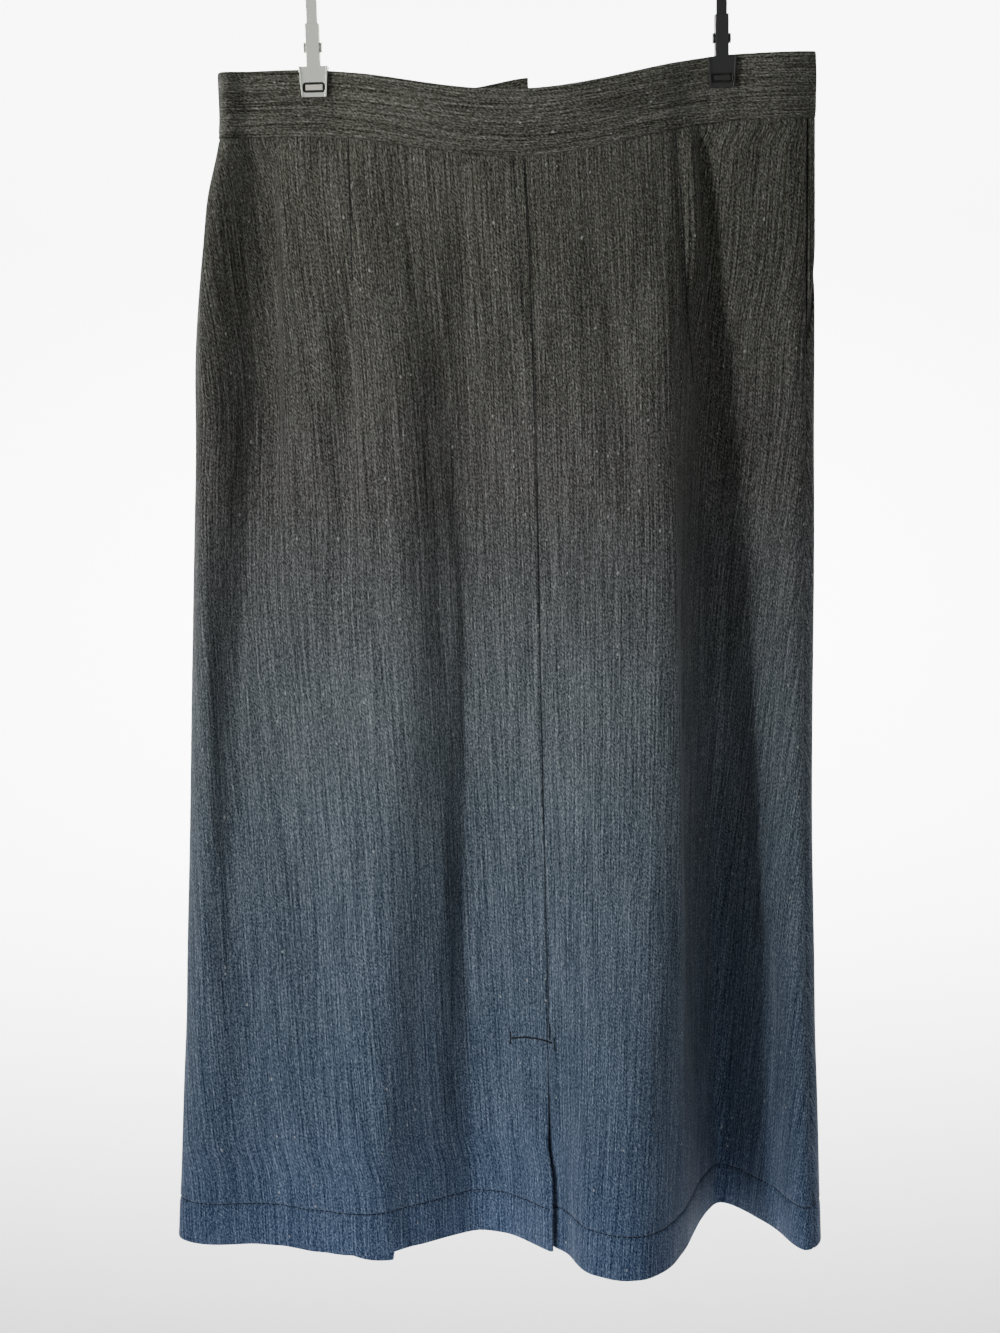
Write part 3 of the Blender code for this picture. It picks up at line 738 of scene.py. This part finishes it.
def panel_shell(name, start, end, shift, low, material, flip, step=(2.2 * mm, 5.0 * mm)):
    """A skirt panel between two edges, from its hem to the waistband."""
    heights = panel_heights(step[1])
    widest = max(end(0.0) - start(0.0), end(panel_tall) - start(panel_tall))
    shares = shares_of(spread_between(0.0, widest, step[0]))
    outside = []
    inside = []
    for height in heights:
        level = height / panel_tall
        a, b = start(height), end(height)
        u = a + (b - a) * shares
        edges = len(edge_offsets)
        u[:edges] = a + np.array(edge_offsets)
        u[-edges:] = b - np.array(edge_offsets[::-1])
        foot = low(u)
        z = foot + (band_foot(u) - seam_gap - foot) * level
        point, inward = loop_points(u, z)
        rise = panel_relief(u, z, foot, point)
        side = np.minimum(u - a, b - u)
        roll = edge_roll(side) + 0.8 * edge_roll(height) + 0.6 * edge_roll(panel_tall - height)
        thick = hem_wall + (cloth_wall - hem_wall) * ease((height - hem_depth) / hem_step)
        out = point + inward * (shift(u, z) - rise + roll)[:, None]
        into = point + inward * (shift(u, z) - rise + thick - 0.4 * roll)[:, None]
        outside.append(np.column_stack([out, z]))
        inside.append(np.column_stack([into, z]))
    outside = np.array(outside)
    inside = np.array(inside)
    cloth_x, cloth_y = lay_out(outside, flip)
    return shell(name, outside, inside, cloth_x, cloth_y, material)


def back_left_start(height):
    return left_seam + 0.5 * seam_gap


def back_right_start(height):
    return centre_back + 0.5 * seam_gap


def back_right_end(height):
    return right_seam - 0.5 * seam_gap


def front_left_end(height):
    return LOOP + left_seam - 0.5 * seam_gap - float(pocket_edge_shift(height))


def front_right_start(height):
    return right_seam + 0.5 * seam_gap + float(pocket_edge_shift(height))


def hip_shell(name, side_seam, direction, material):
    """The cloth behind a slanted pocket mouth."""
    levels = np.concatenate([[(mouth_low - hip_piece_below) / panel_tall],
                             np.linspace(mouth_low / panel_tall, 1.0, 36)])
    shares = np.linspace(0.0, 1.0, 22)
    if direction < 0:
        shares = shares[::-1]
    outside = []
    inside = []
    for level in levels:
        shift = float(pocket_edge_shift(level * panel_tall))
        away = hip_clearance + (shift + pocket_lap - hip_clearance) * shares
        u = side_seam + direction * away
        z = (band_foot(u) - seam_gap) * level
        point, inward = loop_points(u, z)
        tuck = pocket_tuck * ease((away - shift + tuck_run) / tuck_run)
        outside.append(np.column_stack([point + inward * tuck[:, None], z]))
        inside.append(np.column_stack([point + inward * (tuck + pocket_wall)[:, None], z]))
    outside = np.array(outside)
    cloth_x, cloth_y = lay_out(outside)
    return shell(name, outside, np.array(inside), cloth_x, cloth_y + mouth_low, material)


def underlap_shell(material):
    """The strip behind the vent."""
    shares = np.linspace(0.0, 1.0, 18)
    outside = []
    inside = []
    for height in np.linspace(underlap_foot, vent_height, 40):
        u = centre_back - vent_under + (vent_under + vent_root) * shares
        z = np.full(len(u), height)
        point, inward = loop_points(u, z)
        depth = underlap_shift(u, z)[:, None]
        outside.append(np.column_stack([point + inward * depth, z]))
        inside.append(np.column_stack([point + inward * (depth + underlap_wall), z]))
    outside = np.array(outside)
    cloth_x, cloth_y = lay_out(outside)
    return shell("cloth_vent_underlap", outside, np.array(inside), cloth_x, cloth_y, material)


def band_shell(material):
    """The waistband, whose inner end stands up as a tab."""
    start = inner_front_edge(waist_top) - LOOP
    end = outer_high_at_top
    u = spread_between(start, end, 2.4 * mm)
    low = [-0.25, 0.5, 1.1, 1.8, 2.2, 2.6, 3.4, 4.6]
    high = [37.0, 38.0, 38.6, 39.0]
    rises = low + list(np.arange(6.6, 36.0, 2.1)) + high
    lift = tab_lift * (1.0 - ease((u - start) / tab_length))
    foot = band_foot(u)
    outside = []
    inside = []
    for rise in rises:
        share = rise * mm / band_height
        z = foot + (band_height + lift) * share
        point, inward = loop_points(u, z)
        relief = band_relief(u, z, foot, point)
        side = np.minimum(u - start, end - u)
        top = band_height - rise * mm
        roll = edge_roll(side) + 1.3 * edge_roll(rise * mm) + 1.3 * edge_roll(top)
        depth = band_shift(u, z)
        out = point + inward * (depth - relief + roll)[:, None]
        into = point + inward * (depth - relief + band_wall - 0.8 * roll)[:, None]
        outside.append(np.column_stack([out, z]))
        inside.append(np.column_stack([into, z]))
    outside = np.array(outside)
    across, along = lay_out(outside)
    return shell("cloth_waistband", outside, np.array(inside), along, across, material)


# Stitching

STITCH_RINGS = (
    # share of the stitch, thickness, lift in millimetres
    (0.0,  0.35, -0.22),
    (0.18, 0.9,  0.0),
    (0.5,  1.0,  0.10),
    (0.82, 0.9,  0.0),
    (1.0,  0.35, -0.22),
)
stitch_sides = 6
stitch_lift = 0.10 * mm
stitch_flatness = 0.8
stitch_look_ahead = 0.3 * mm
hem_pitch = 3.3 * mm
hem_stitch_share = 0.86
hem_thread = 0.42 * mm


def along_line(line, length, at):
    return np.array([np.interp(at, length, line[:, axis]) for axis in range(3)])


def stitch_tube(base):
    """The faces of one stitch, whose rings start at this point."""
    sides = stitch_sides
    faces = []
    for r in range(len(STITCH_RINGS) - 1):
        for s in range(sides):
            t = (s + 1) % sides
            a = base + r * sides
            faces.append((a + s, a + t, a + sides + t, a + sides + s))
    faces.append(tuple(base + s for s in reversed(range(sides))))
    last = base + (len(STITCH_RINGS) - 1) * sides
    faces.append(tuple(last + s for s in range(sides)))
    return faces


def stitched_line(name, u, height, shift, foot, material, pitch=hem_pitch,
                  long_share=hem_stitch_share, thread=hem_thread):
    """Separate stitches laid along a line on a panel."""
    fine = np.linspace(0.0, 1.0, max(int(40 * len(u)), 400))
    grid = np.linspace(0.0, 1.0, len(u))
    u = np.interp(fine, grid, u)
    height = np.interp(fine, grid, height)
    point, inward = loop_points(u, height)
    rise = panel_relief(u, height, foot(u), point)
    out = point + inward * (shift(u, height) - rise - stitch_lift)[:, None]
    line = np.column_stack([out, height])
    outward = np.column_stack([-inward, np.zeros(len(u))])
    length = np.concatenate([[0.0], np.cumsum(np.linalg.norm(np.diff(line, axis=0), axis=1))])
    points = []
    faces = []
    for k in range(int(length[-1] / pitch)):
        faces += stitch_tube(len(points))
        begin = (k + 0.5 * (1.0 - long_share)) * pitch
        for share, size, lift in STITCH_RINGS:
            at = begin + share * long_share * pitch
            centre = along_line(line, length, at)
            up = along_line(outward, length, at)
            ahead = along_line(line, length, at + stitch_look_ahead) - centre
            ahead = ahead / max(np.linalg.norm(ahead), 1e-9)
            across = np.cross(ahead, up)
            centre = centre + up * lift * mm
            for s in range(stitch_sides):
                angle = 2 * math.pi * s / stitch_sides
                turn = math.cos(angle) * across + stitch_flatness * math.sin(angle) * up
                points.append(centre + thread * size * turn)
    mesh = bpy.data.meshes.new(name)
    mesh.from_pydata([tuple(p) for p in drop_from_hook(np.array(points))], [], faces)
    thing = placed(name, mesh, material)
    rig.ride(thing, "root")
    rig.slot(thing, "denim")


# Materials


class Nodes:
    """Short helpers for building a node tree."""

    def __init__(self, name):
        self.material = bpy.data.materials.new(name)
        self.material.use_nodes = True
        self.tree = self.material.node_tree
        self.shader = self.tree.nodes["Principled BSDF"]

    def add(self, kind, inputs=None, **settings):
        node = self.tree.nodes.new(kind)
        for key, value in settings.items():
            setattr(node, key, value)
        for key, value in (inputs or {}).items():
            if isinstance(value, bpy.types.NodeSocket):
                self.tree.links.new(value, node.inputs[key])
            else:
                node.inputs[key].default_value = value
        return node

    def math(self, operation, a, b=0.0, c=0.0):
        return self.add("ShaderNodeMath", {0: a, 1: b, 2: c}, operation=operation).outputs[0]

    def link(self, output, socket):
        self.tree.links.new(output, self.shader.inputs[socket])

    def vector(self, operation, inputs):
        return self.add("ShaderNodeVectorMath", inputs, operation=operation).outputs[0]

    def ramp(self, value, stops):
        node = self.add("ShaderNodeValToRGB", {"Fac": value})
        elements = node.color_ramp.elements
        while len(elements) < len(stops):
            elements.new(0.5)
        for element, (place, colour) in zip(elements, stops):
            element.position = place
            element.color = (*colour, 1.0)
        return node.outputs["Color"]


thread_stagger = 0.618

# The denim's own dark colour by height, with a painted light tint: warmer towards the waist and bluer towards the hem.
GROUND_AND_LIGHT_TINT = (
    # height up the skirt, colour as seen
    (0.00, (0.238, 0.293, 0.385)),
    (0.14, (0.249, 0.295, 0.360)),
    (0.30, (0.274, 0.313, 0.357)),
    (0.48, (0.308, 0.334, 0.351)),
    (0.66, (0.276, 0.276, 0.273)),
    (0.85, (0.256, 0.258, 0.237)),
    (1.00, (0.280, 0.282, 0.258)),
)
darkest = (0.045, 0.055, 0.065)

THREADS = (
    # name      across, along in mm   detail  seed   strength
    ("grain",   1.05, 1.35,           0.0,    5.9,   1.9),
    ("dashes",  1.0, 6.0,             0.0,    1.3,   0.75),
    ("slubs",   1.25, 55.0,           0.0,    7.3,   1.25),
    ("broad",   6.0, 170.0,           1.0,    3.1,   0.3),
)
thread_contrast = 0.17
fleck_size = (0.85, 4.5)
fleck_seed = 11.7
fleck_floor = 0.62
fleck_strength = 2.4
twill_angle = 38.0
twill_pitch = 1.2
twill_strength = 0.10
speck_scale = (150.0, 90.0, 1.0)
speck_wander = 0.0011
speck_from = 0.90
speck_size = 0.10
speck_strength = 0.6
speck_colour = (0.36, 0.37, 0.36, 1.0)


def stretched_noise(nodes, cloth, across, along, detail, seed):
    """Noise with features about across by along millimetres, staggered from thread to thread."""
    axes = nodes.add("ShaderNodeSeparateXYZ", {0: cloth}).outputs
    x = nodes.math("ADD", nodes.math("MULTIPLY", axes["X"], 1000.0 / across), seed)
    y = nodes.math("MULTIPLY_ADD", axes["Y"], 1000.0 / along, nodes.math("MULTIPLY", x, thread_stagger))
    place = nodes.add("ShaderNodeCombineXYZ", {0: x, 1: y}).outputs[0]
    noise = nodes.add("ShaderNodeTexNoise", {"Vector": place, "Scale": 1.0, "Detail": detail,
                                             "Roughness": 0.55}, noise_dimensions="2D")
    return noise.outputs["Fac"]


def pale_specks(nodes, cloth, colour):
    """A few pale specks where the fibre has balled up."""
    jitter = nodes.add("ShaderNodeTexNoise", {"Vector": cloth, "Scale": 900.0}, noise_dimensions="2D")
    loose = nodes.vector("SCALE", {0: jitter.outputs["Color"], "Scale": speck_wander})
    wander = nodes.vector("ADD", {0: cloth, 1: loose})
    place = nodes.add("ShaderNodeMapping", {"Vector": wander, "Scale": speck_scale}).outputs[0]
    specks = nodes.add("ShaderNodeTexVoronoi", {"Vector": place, "Scale": 1.0}, voronoi_dimensions="2D")
    pick = nodes.add("ShaderNodeSeparateColor", {0: specks.outputs["Color"]}).outputs[0]
    size = nodes.add("ShaderNodeMapRange", {"Value": pick, "From Min": speck_from, "From Max": 1.0,
                                            "To Min": 0.0, "To Max": speck_size}).outputs[0]
    spot = nodes.math("LESS_THAN", specks.outputs["Distance"], size)
    share = nodes.math("MULTIPLY", spot, speck_strength)
    return nodes.add("ShaderNodeMix", {"Factor": share, 6: colour, 7: speck_colour},
                     data_type="RGBA").outputs[2]


def denim(name):
    """Slubby denim: pale vertical threads over a dark base colour, with a painted light tint that makes it bluer
    towards the hem.
    """
    nodes = Nodes(name)
    cloth = nodes.add("ShaderNodeUVMap", uv_map="cloth").outputs[0]
    place = nodes.add("ShaderNodeTexCoord").outputs["Object"]
    height = nodes.add("ShaderNodeSeparateXYZ", {0: place}).outputs["Z"]
    low = -(waist_top + hook_drop)
    share = nodes.add("ShaderNodeMapRange", {"Value": height, "From Min": low,
                                             "From Max": low + waist_top}).outputs[0]
    # Painted light tint by height: warmer towards the waist, bluer towards the hem.
    ground_and_light_tint = nodes.ramp(share, GROUND_AND_LIGHT_TINT)
    flecks = stretched_noise(nodes, cloth, *fleck_size, 0.0, fleck_seed)
    flecks = nodes.math("MAXIMUM", nodes.math("SUBTRACT", flecks, fleck_floor), 0.0)
    threads = nodes.math("MULTIPLY", flecks, fleck_strength)
    for _, across, along, detail, seed, strength in THREADS:
        noise = stretched_noise(nodes, cloth, across, along, detail, seed)
        noise = nodes.math("MULTIPLY", nodes.math("SUBTRACT", noise, 0.5), strength)
        threads = nodes.math("ADD", threads, noise)
    turned = nodes.add("ShaderNodeMapping", {"Vector": cloth,
                                             "Rotation": (0.0, 0.0, math.radians(twill_angle))}).outputs[0]
    twill = nodes.add("ShaderNodeTexWave", {
        "Vector": turned,
        "Scale": 1000.0 / twill_pitch / math.pi,
        "Distortion": 1.6,
        "Detail": 1.0,
        "Detail Scale": 2.0,
    }).outputs["Fac"]
    ribs = nodes.math("MULTIPLY", nodes.math("SUBTRACT", twill, 0.5), twill_strength)
    threads = nodes.math("ADD", threads, ribs)
    grey = nodes.math("MULTIPLY", threads, thread_contrast)
    shade = nodes.add("ShaderNodeCombineXYZ", {0: grey, 1: grey, 2: grey}).outputs[0]
    mixed = nodes.vector("ADD", {0: ground_and_light_tint, 1: shade})
    mixed = nodes.vector("MAXIMUM", {0: mixed, 1: darkest})
    coloured = nodes.add("ShaderNodeGamma", {"Color": mixed, "Gamma": 2.2}).outputs[0]
    nodes.link(pale_specks(nodes, cloth, coloured), "Base Color")
    bump_height = nodes.math("ADD", threads, nodes.math("MULTIPLY", twill, 0.5))
    bump = nodes.add("ShaderNodeBump", {"Height": bump_height, "Strength": 0.5,
                                        "Distance": 0.00012}).outputs[0]
    nodes.link(bump, "Normal")
    nodes.shader.inputs["Roughness"].default_value = 0.93
    nodes.shader.inputs["Specular IOR Level"].default_value = 0.18
    nodes.shader.inputs["Sheen Weight"].default_value = 0.08
    nodes.shader.inputs["Sheen Roughness"].default_value = 0.5
    return nodes.material


def plain(name, colour, roughness, metallic=0.0, bevel=0.0, wear=0.0, coat=0.0):
    """A hard finish with rounded-looking edges and a little uneven gloss."""
    nodes = Nodes(name)
    nodes.shader.inputs["Base Color"].default_value = (*colour, 1.0)
    nodes.shader.inputs["Metallic"].default_value = metallic
    nodes.shader.inputs["Coat Weight"].default_value = coat
    place = nodes.add("ShaderNodeTexCoord").outputs["Object"]
    noise = nodes.add("ShaderNodeTexNoise", {"Vector": place, "Scale": 380.0, "Detail": 3.0}).outputs["Fac"]
    gloss = nodes.math("ADD", nodes.math("MULTIPLY", nodes.math("SUBTRACT", noise, 0.5), wear), roughness)
    nodes.link(gloss, "Roughness")
    if bevel:
        rounded = nodes.add("ShaderNodeBevel", {"Radius": bevel}, samples=6).outputs[0]
        nodes.link(rounded, "Normal")
    return nodes.material


def thread_finish(name, colour):
    nodes = Nodes(name)
    nodes.shader.inputs["Base Color"].default_value = (*colour, 1.0)
    nodes.shader.inputs["Roughness"].default_value = 0.8
    nodes.shader.inputs["Specular IOR Level"].default_value = 0.2
    return nodes.material


# Build the cloth

cloth = denim("charcoal_denim")
thread = thread_finish("dark_thread", (0.010, 0.012, 0.016))

back_left = panel_shell("cloth_back_left", back_left_start, vent_flap_edge,
                        left_back_shift, level_hem, cloth, True)
back_right = panel_shell("cloth_back_right", back_right_start, back_right_end,
                         vent_spread, level_hem, cloth, False)
front_left = panel_shell("cloth_front_left", inner_front_edge, front_left_end,
                         inner_front_shift, inner_front_hem, cloth, False)
front_right = panel_shell("cloth_front_right", front_right_start, outer_front_edge,
                          no_shift, outer_front_hem, cloth, True)
hip_left = hip_shell("cloth_hip_left", LOOP + left_seam, -1, cloth)
hip_right = hip_shell("cloth_hip_right", right_seam, 1, cloth)
underlap = underlap_shell(cloth)
band = band_shell(cloth)

# What shows of each piece as it was cut, hems turned and seams sewn

CUTS = (
    # piece       solid                width   length  narrow end    held, and from what
    (back_left,   "back_panel_left",   0.296,  0.735,  0.196,  "draped",  band),
    (back_right,  "back_panel_right",  0.311,  0.735,  0.174,  "draped",  band),
    (front_left,  "front_panel_left",  0.213,  0.742,  0.175,  "draped",  band),
    (front_right, "front_panel_right", 0.514,  0.735,  0.230,  "draped",  band),
    (hip_left,    "hip_piece_left",    0.017,  0.144,  0.004,  "hung",    band),
    (hip_right,   "hip_piece_right",   0.028,  0.144,  0.006,  "hung",    band),
    (underlap,    "vent_underlap",     0.047,  0.145,  0.045,  "hung",    back_right),
    (band,        "waistband",         0.815,  0.039,  0.815,  "hung",    "clip_left_near_jaw"),
)
for piece, node, width, length, narrow_end, held, holder in CUTS:
    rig.ride(piece, "root")
    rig.replaces(piece, node)
    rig.slot(piece, "denim")
    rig.sheet(piece, flat=(width, length), held=held, rests_on=[holder],
             area=0.5 * (width + narrow_end) * length)


# Seam lines and stitching


def along_u(start, end, height_over_foot, foot):
    u = np.linspace(start, end, max(int((end - start) / (2 * mm)), 2))
    return u, foot(u) + height_over_foot


def at_across(side_low, side_high, across, height):
    """The place round the loop, between two others, that is at this x at this height."""
    u = np.linspace(side_low, side_high, 400)
    point, _ = loop_points(u, np.full(400, height))
    return float(np.interp(across, point[:, 0], u))


def line_on_back(points):
    """A line given by its x and height in millimetres, as places on the loop."""
    dense = np.linspace(0.0, len(points) - 1.0, 12 * len(points))
    across = np.interp(dense, np.arange(len(points)), [x for x, _ in points]) * mm
    height = np.interp(dense, np.arange(len(points)), [z for _, z in points]) * mm
    u = np.array([at_across(0.0, KNOTS[right_edge_row], x, z) for x, z in zip(across, height)])
    return u, height


hem_runs = (
    ("hem_stitch_back_left", back_left_start, vent_flap_edge, left_back_shift, level_hem),
    ("hem_stitch_back_right", back_right_start, back_right_end, vent_spread, level_hem),
    ("hem_stitch_front_left", inner_front_edge, front_left_end, inner_front_shift, inner_front_hem),
    ("hem_stitch_front_right", front_right_start, outer_front_edge, no_shift, outer_front_hem),
)
for name, start, end, shift, low in hem_runs:
    u, height = along_u(start(0.0) + 1.5 * mm, end(0.0) - 1.5 * mm, hem_depth, low)
    stitched_line(name, u, height, shift, low, thread)

SEAM_LINES = (
    # name                pitch, share, thread   points: across, height
    # The first line is a dark line of end-to-end stitches laid in the centre back seam: painted shadow of the seam's
    # gap.
    ("back_seam",         3.0, 1.0, 0.22,        ((2.2, 717), (3, 698), (4, 672), (4.2, 646),
                                                  (5, 614), (6, 587), (6.2, 417), (7, 150))),
    ("back_seam_stitch",  3.0, 0.8, 0.34,        ((-5, 716), (-3.5, 690), (-2, 655), (-1, 622))),
    ("dart_left",         1.5, 1.0, 0.40,        ((-104, 732), (-104.5, 690), (-105, 645))),
    ("dart_right",        1.5, 1.0, 0.40,        ((93.5, 733), (97, 700), (100, 655), (102, 612),
                                                  (104, 578))),
    ("side_stitch_right", 2.4, 0.6, 0.42,        ((164, 733), (164.5, 700), (164.5, 664))),
    ("vent_stitch",       2.6, 1.1, 0.66,        ((-16.5, 146), (-8, 148.5), (1, 149), (9.5, 148))),
    ("vent_tack_left",    1.6, 1.1, 0.62,        ((-17, 151), (-17.2, 141))),
    ("vent_tack_right",   1.6, 1.1, 0.62,        ((10, 152), (10.2, 141))),
    ("vent_tack_top",     1.6, 1.1, 0.54,        ((7.4, 161), (7.6, 149))),
)
for name, pitch, share, thickness, points in SEAM_LINES:
    u, height = line_on_back(points)
    shift = left_back_shift if points[0][0] < 10 else vent_spread
    stitched_line(name, u, height, shift, level_hem, thread, pitch * mm, share, thickness * mm)


# A dark rim round each clip's slot


slot_half_width = 6.3 * mm
slot_half_height = 2.6 * mm
slot_corner = 1.5 * mm
slot_above_foot = 5.6 * mm
slot_wire = 0.5 * mm
slot_steps = 24


def rounded(lean, half):
    """How far a box with rounded corners reaches, from the cosine or sine of a direction."""
    return (half - slot_corner) * math.copysign(1.0, lean) + slot_corner * lean


def slot_rim(name, place, material, node_slot):
    """A rounded wire bent round the slot in the near jaw."""
    face = -(grip_depth + band_proud + clip_gap + clip_sheet)
    middle = -hook_drop - clip_bite + slot_above_foot
    curve = bpy.data.curves.new(name, "CURVE")
    curve.dimensions = "3D"
    curve.bevel_depth = slot_wire
    curve.bevel_resolution = 2
    line = curve.splines.new("POLY")
    route = []
    for k in range(slot_steps):
        angle = 2 * math.pi * (k + 0.5) / slot_steps
        across = rounded(math.cos(angle), slot_half_width)
        up = rounded(math.sin(angle), slot_half_height)
        route.append((place + across, face, middle + up, 1.0))
    line.points.add(len(route) - 1)
    for point, where in zip(line.points, route):
        point.co = where
    line.use_cyclic_u = True
    bent = bpy.data.objects.new(name, curve)
    mesh = bpy.data.meshes.new_from_object(bent)
    bpy.data.objects.remove(bent)
    thing = placed(name, mesh, material)
    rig.ride(thing, "root")
    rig.slot(thing, node_slot)


# Hanger finishes

wire = plain("hanger_wire", (0.60, 0.60, 0.58), 0.24, metallic=1.0, wear=0.10)
silver = plain("clip_silver", (0.68, 0.70, 0.62), 0.30, metallic=1.0, bevel=0.4 * mm, wear=0.25)
black = plain("clip_black", (0.008, 0.008, 0.008), 0.34, bevel=0.4 * mm, wear=0.15)
pill = plain("clip_pill", (0.62, 0.60, 0.53), 0.5, bevel=0.5 * mm)
rubber = plain("clip_rubber", (0.014, 0.014, 0.014), 0.6, bevel=0.5 * mm)
horn = plain("button_horn", (0.016, 0.017, 0.020), 0.30, wear=0.15, coat=0.3)

FINISHES = {
    "hanger_bar": wire,
    "hanger_hook": wire,
    "waist_button": horn,
    "clip_left_pad": pill,
    "clip_right_pad": rubber,
}
for part in ("near_jaw", "far_jaw", "spring", "link"):
    FINISHES[f"clip_left_{part}"] = silver
    FINISHES[f"clip_right_{part}"] = black

slot_rim("clip_left_slot_rim", clip_places[0], rubber, "pad_black")
slot_rim("clip_right_slot_rim", clip_places[1], black, "clip_black")

for node, finish in FINISHES.items():
    mesh = bpy.data.objects[node].data
    mesh.materials.clear()
    mesh.materials.append(finish)


# Floor, light and camera

floor_height = -1.16
floor_start = -0.5
floor_half_width = 4.0
sweep_start = 1.5
sweep_radius = 0.9
sweep_steps = 16
wall_top = 3.4
floor_grey = 0.92


def backdrop():
    """A pale floor that sweeps up behind the skirt."""
    profile = [(floor_start, floor_height), (sweep_start, floor_height)]
    for k in range(1, sweep_steps + 1):
        angle = 0.5 * math.pi * k / sweep_steps
        profile.append((sweep_start + sweep_radius * math.sin(angle),
                        floor_height + sweep_radius * (1.0 - math.cos(angle))))
    profile.append((sweep_start + sweep_radius, wall_top))
    points = []
    faces = []
    for y, z in profile:
        points.append((-floor_half_width, y, z))
        points.append((floor_half_width, y, z))
    for k in range(len(profile) - 1):
        faces.append((2 * k, 2 * k + 1, 2 * k + 3, 2 * k + 2))
    mesh = bpy.data.meshes.new("pale_floor")
    mesh.from_pydata(points, [], faces)
    nodes = Nodes("pale_floor")
    nodes.shader.inputs["Base Color"].default_value = (floor_grey, floor_grey, floor_grey, 1.0)
    nodes.shader.inputs["Roughness"].default_value = 0.9
    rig.stage(placed("pale_floor", mesh, nodes.material))


skirt_middle = (-0.05, 0.0, -0.55)
world_strength = 0.30

LIGHTS = (
    # name         place                  aim                size         power  spread  colour
    ("softbox",    (-0.97, -0.90, -0.42), skirt_middle,      (0.22, 1.8), 1.75,  26.0,   (1.0, 0.99, 0.97)),
    ("fill",       (-0.1, -2.4, 0.1),     skirt_middle,      (1.6, 1.6),  4.6,   180.0,  (0.95, 0.97, 1.0)),
    ("sweep_left", (-1.6, 0.9, 1.5),      (-0.4, 2.2, -0.6), (1.6, 1.0),  150.0, 80.0,   (1.0, 1.0, 1.0)),
    ("sweep_right", (1.6, 0.9, 1.5),      (0.4, 2.2, -0.6),  (1.6, 1.0),  150.0, 80.0,   (1.0, 1.0, 1.0)),
)


def area_light(name, place, aim, size, power, spread, colour):
    light = bpy.data.lights.new(name, "AREA")
    light.shape = "RECTANGLE"
    light.size, light.size_y = size
    light.energy = power
    light.spread = math.radians(spread)
    light.color = colour
    thing = bpy.data.objects.new(name, light)
    thing.location = place
    thing.rotation_euler = (Vector(aim) - Vector(place)).to_track_quat("-Z", "Y").to_euler()
    bpy.context.scene.collection.objects.link(thing)


def world():
    sky = bpy.data.worlds.new("studio")
    sky.use_nodes = True
    background = sky.node_tree.nodes["Background"]
    background.inputs["Color"].default_value = (1.0, 1.0, 1.0, 1.0)
    background.inputs["Strength"].default_value = world_strength
    bpy.context.scene.world = sky


# The camera stands 1.35 m from the skirt, a little below its waist, and looks down

camera_across = -0.0198
camera_away = 1.35
camera_above_hem = 0.68
camera_pitch = 11.717
camera_roll = 1.35
sensor_width = 36.0
focal_pixels = 2152.0
photo_height = 1333.0


def camera():
    lens = bpy.data.cameras.new("camera")
    lens.sensor_width = sensor_width
    lens.sensor_fit = "AUTO"
    lens.lens = sensor_width * focal_pixels / photo_height
    tilt = math.radians(camera_pitch)
    lean = math.radians(camera_roll)
    ahead = Vector((0.0, math.cos(tilt), -math.sin(tilt)))
    level = Vector((1.0, 0.0, 0.0))
    up = level.cross(ahead)
    right = level * math.cos(lean) - up * math.sin(lean)
    up = up * math.cos(lean) + level * math.sin(lean)
    turn = Matrix((right, up, -ahead)).transposed().to_4x4()
    turn.translation = Vector((camera_across, -camera_away, camera_above_hem - waist_top - hook_drop))
    thing = bpy.data.objects.new("camera", lens)
    thing.matrix_world = turn
    bpy.context.scene.collection.objects.link(thing)
    bpy.context.scene.camera = thing


backdrop()
for lamp in LIGHTS:
    area_light(*lamp)
world()
camera()

with open("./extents.json", "r") as notes:
    sizes = json.load(notes)
sizes["before_finish"] = [list(map(float, side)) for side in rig.bounds()]
with open("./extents.json", "w") as notes:
    json.dump(sizes, notes)
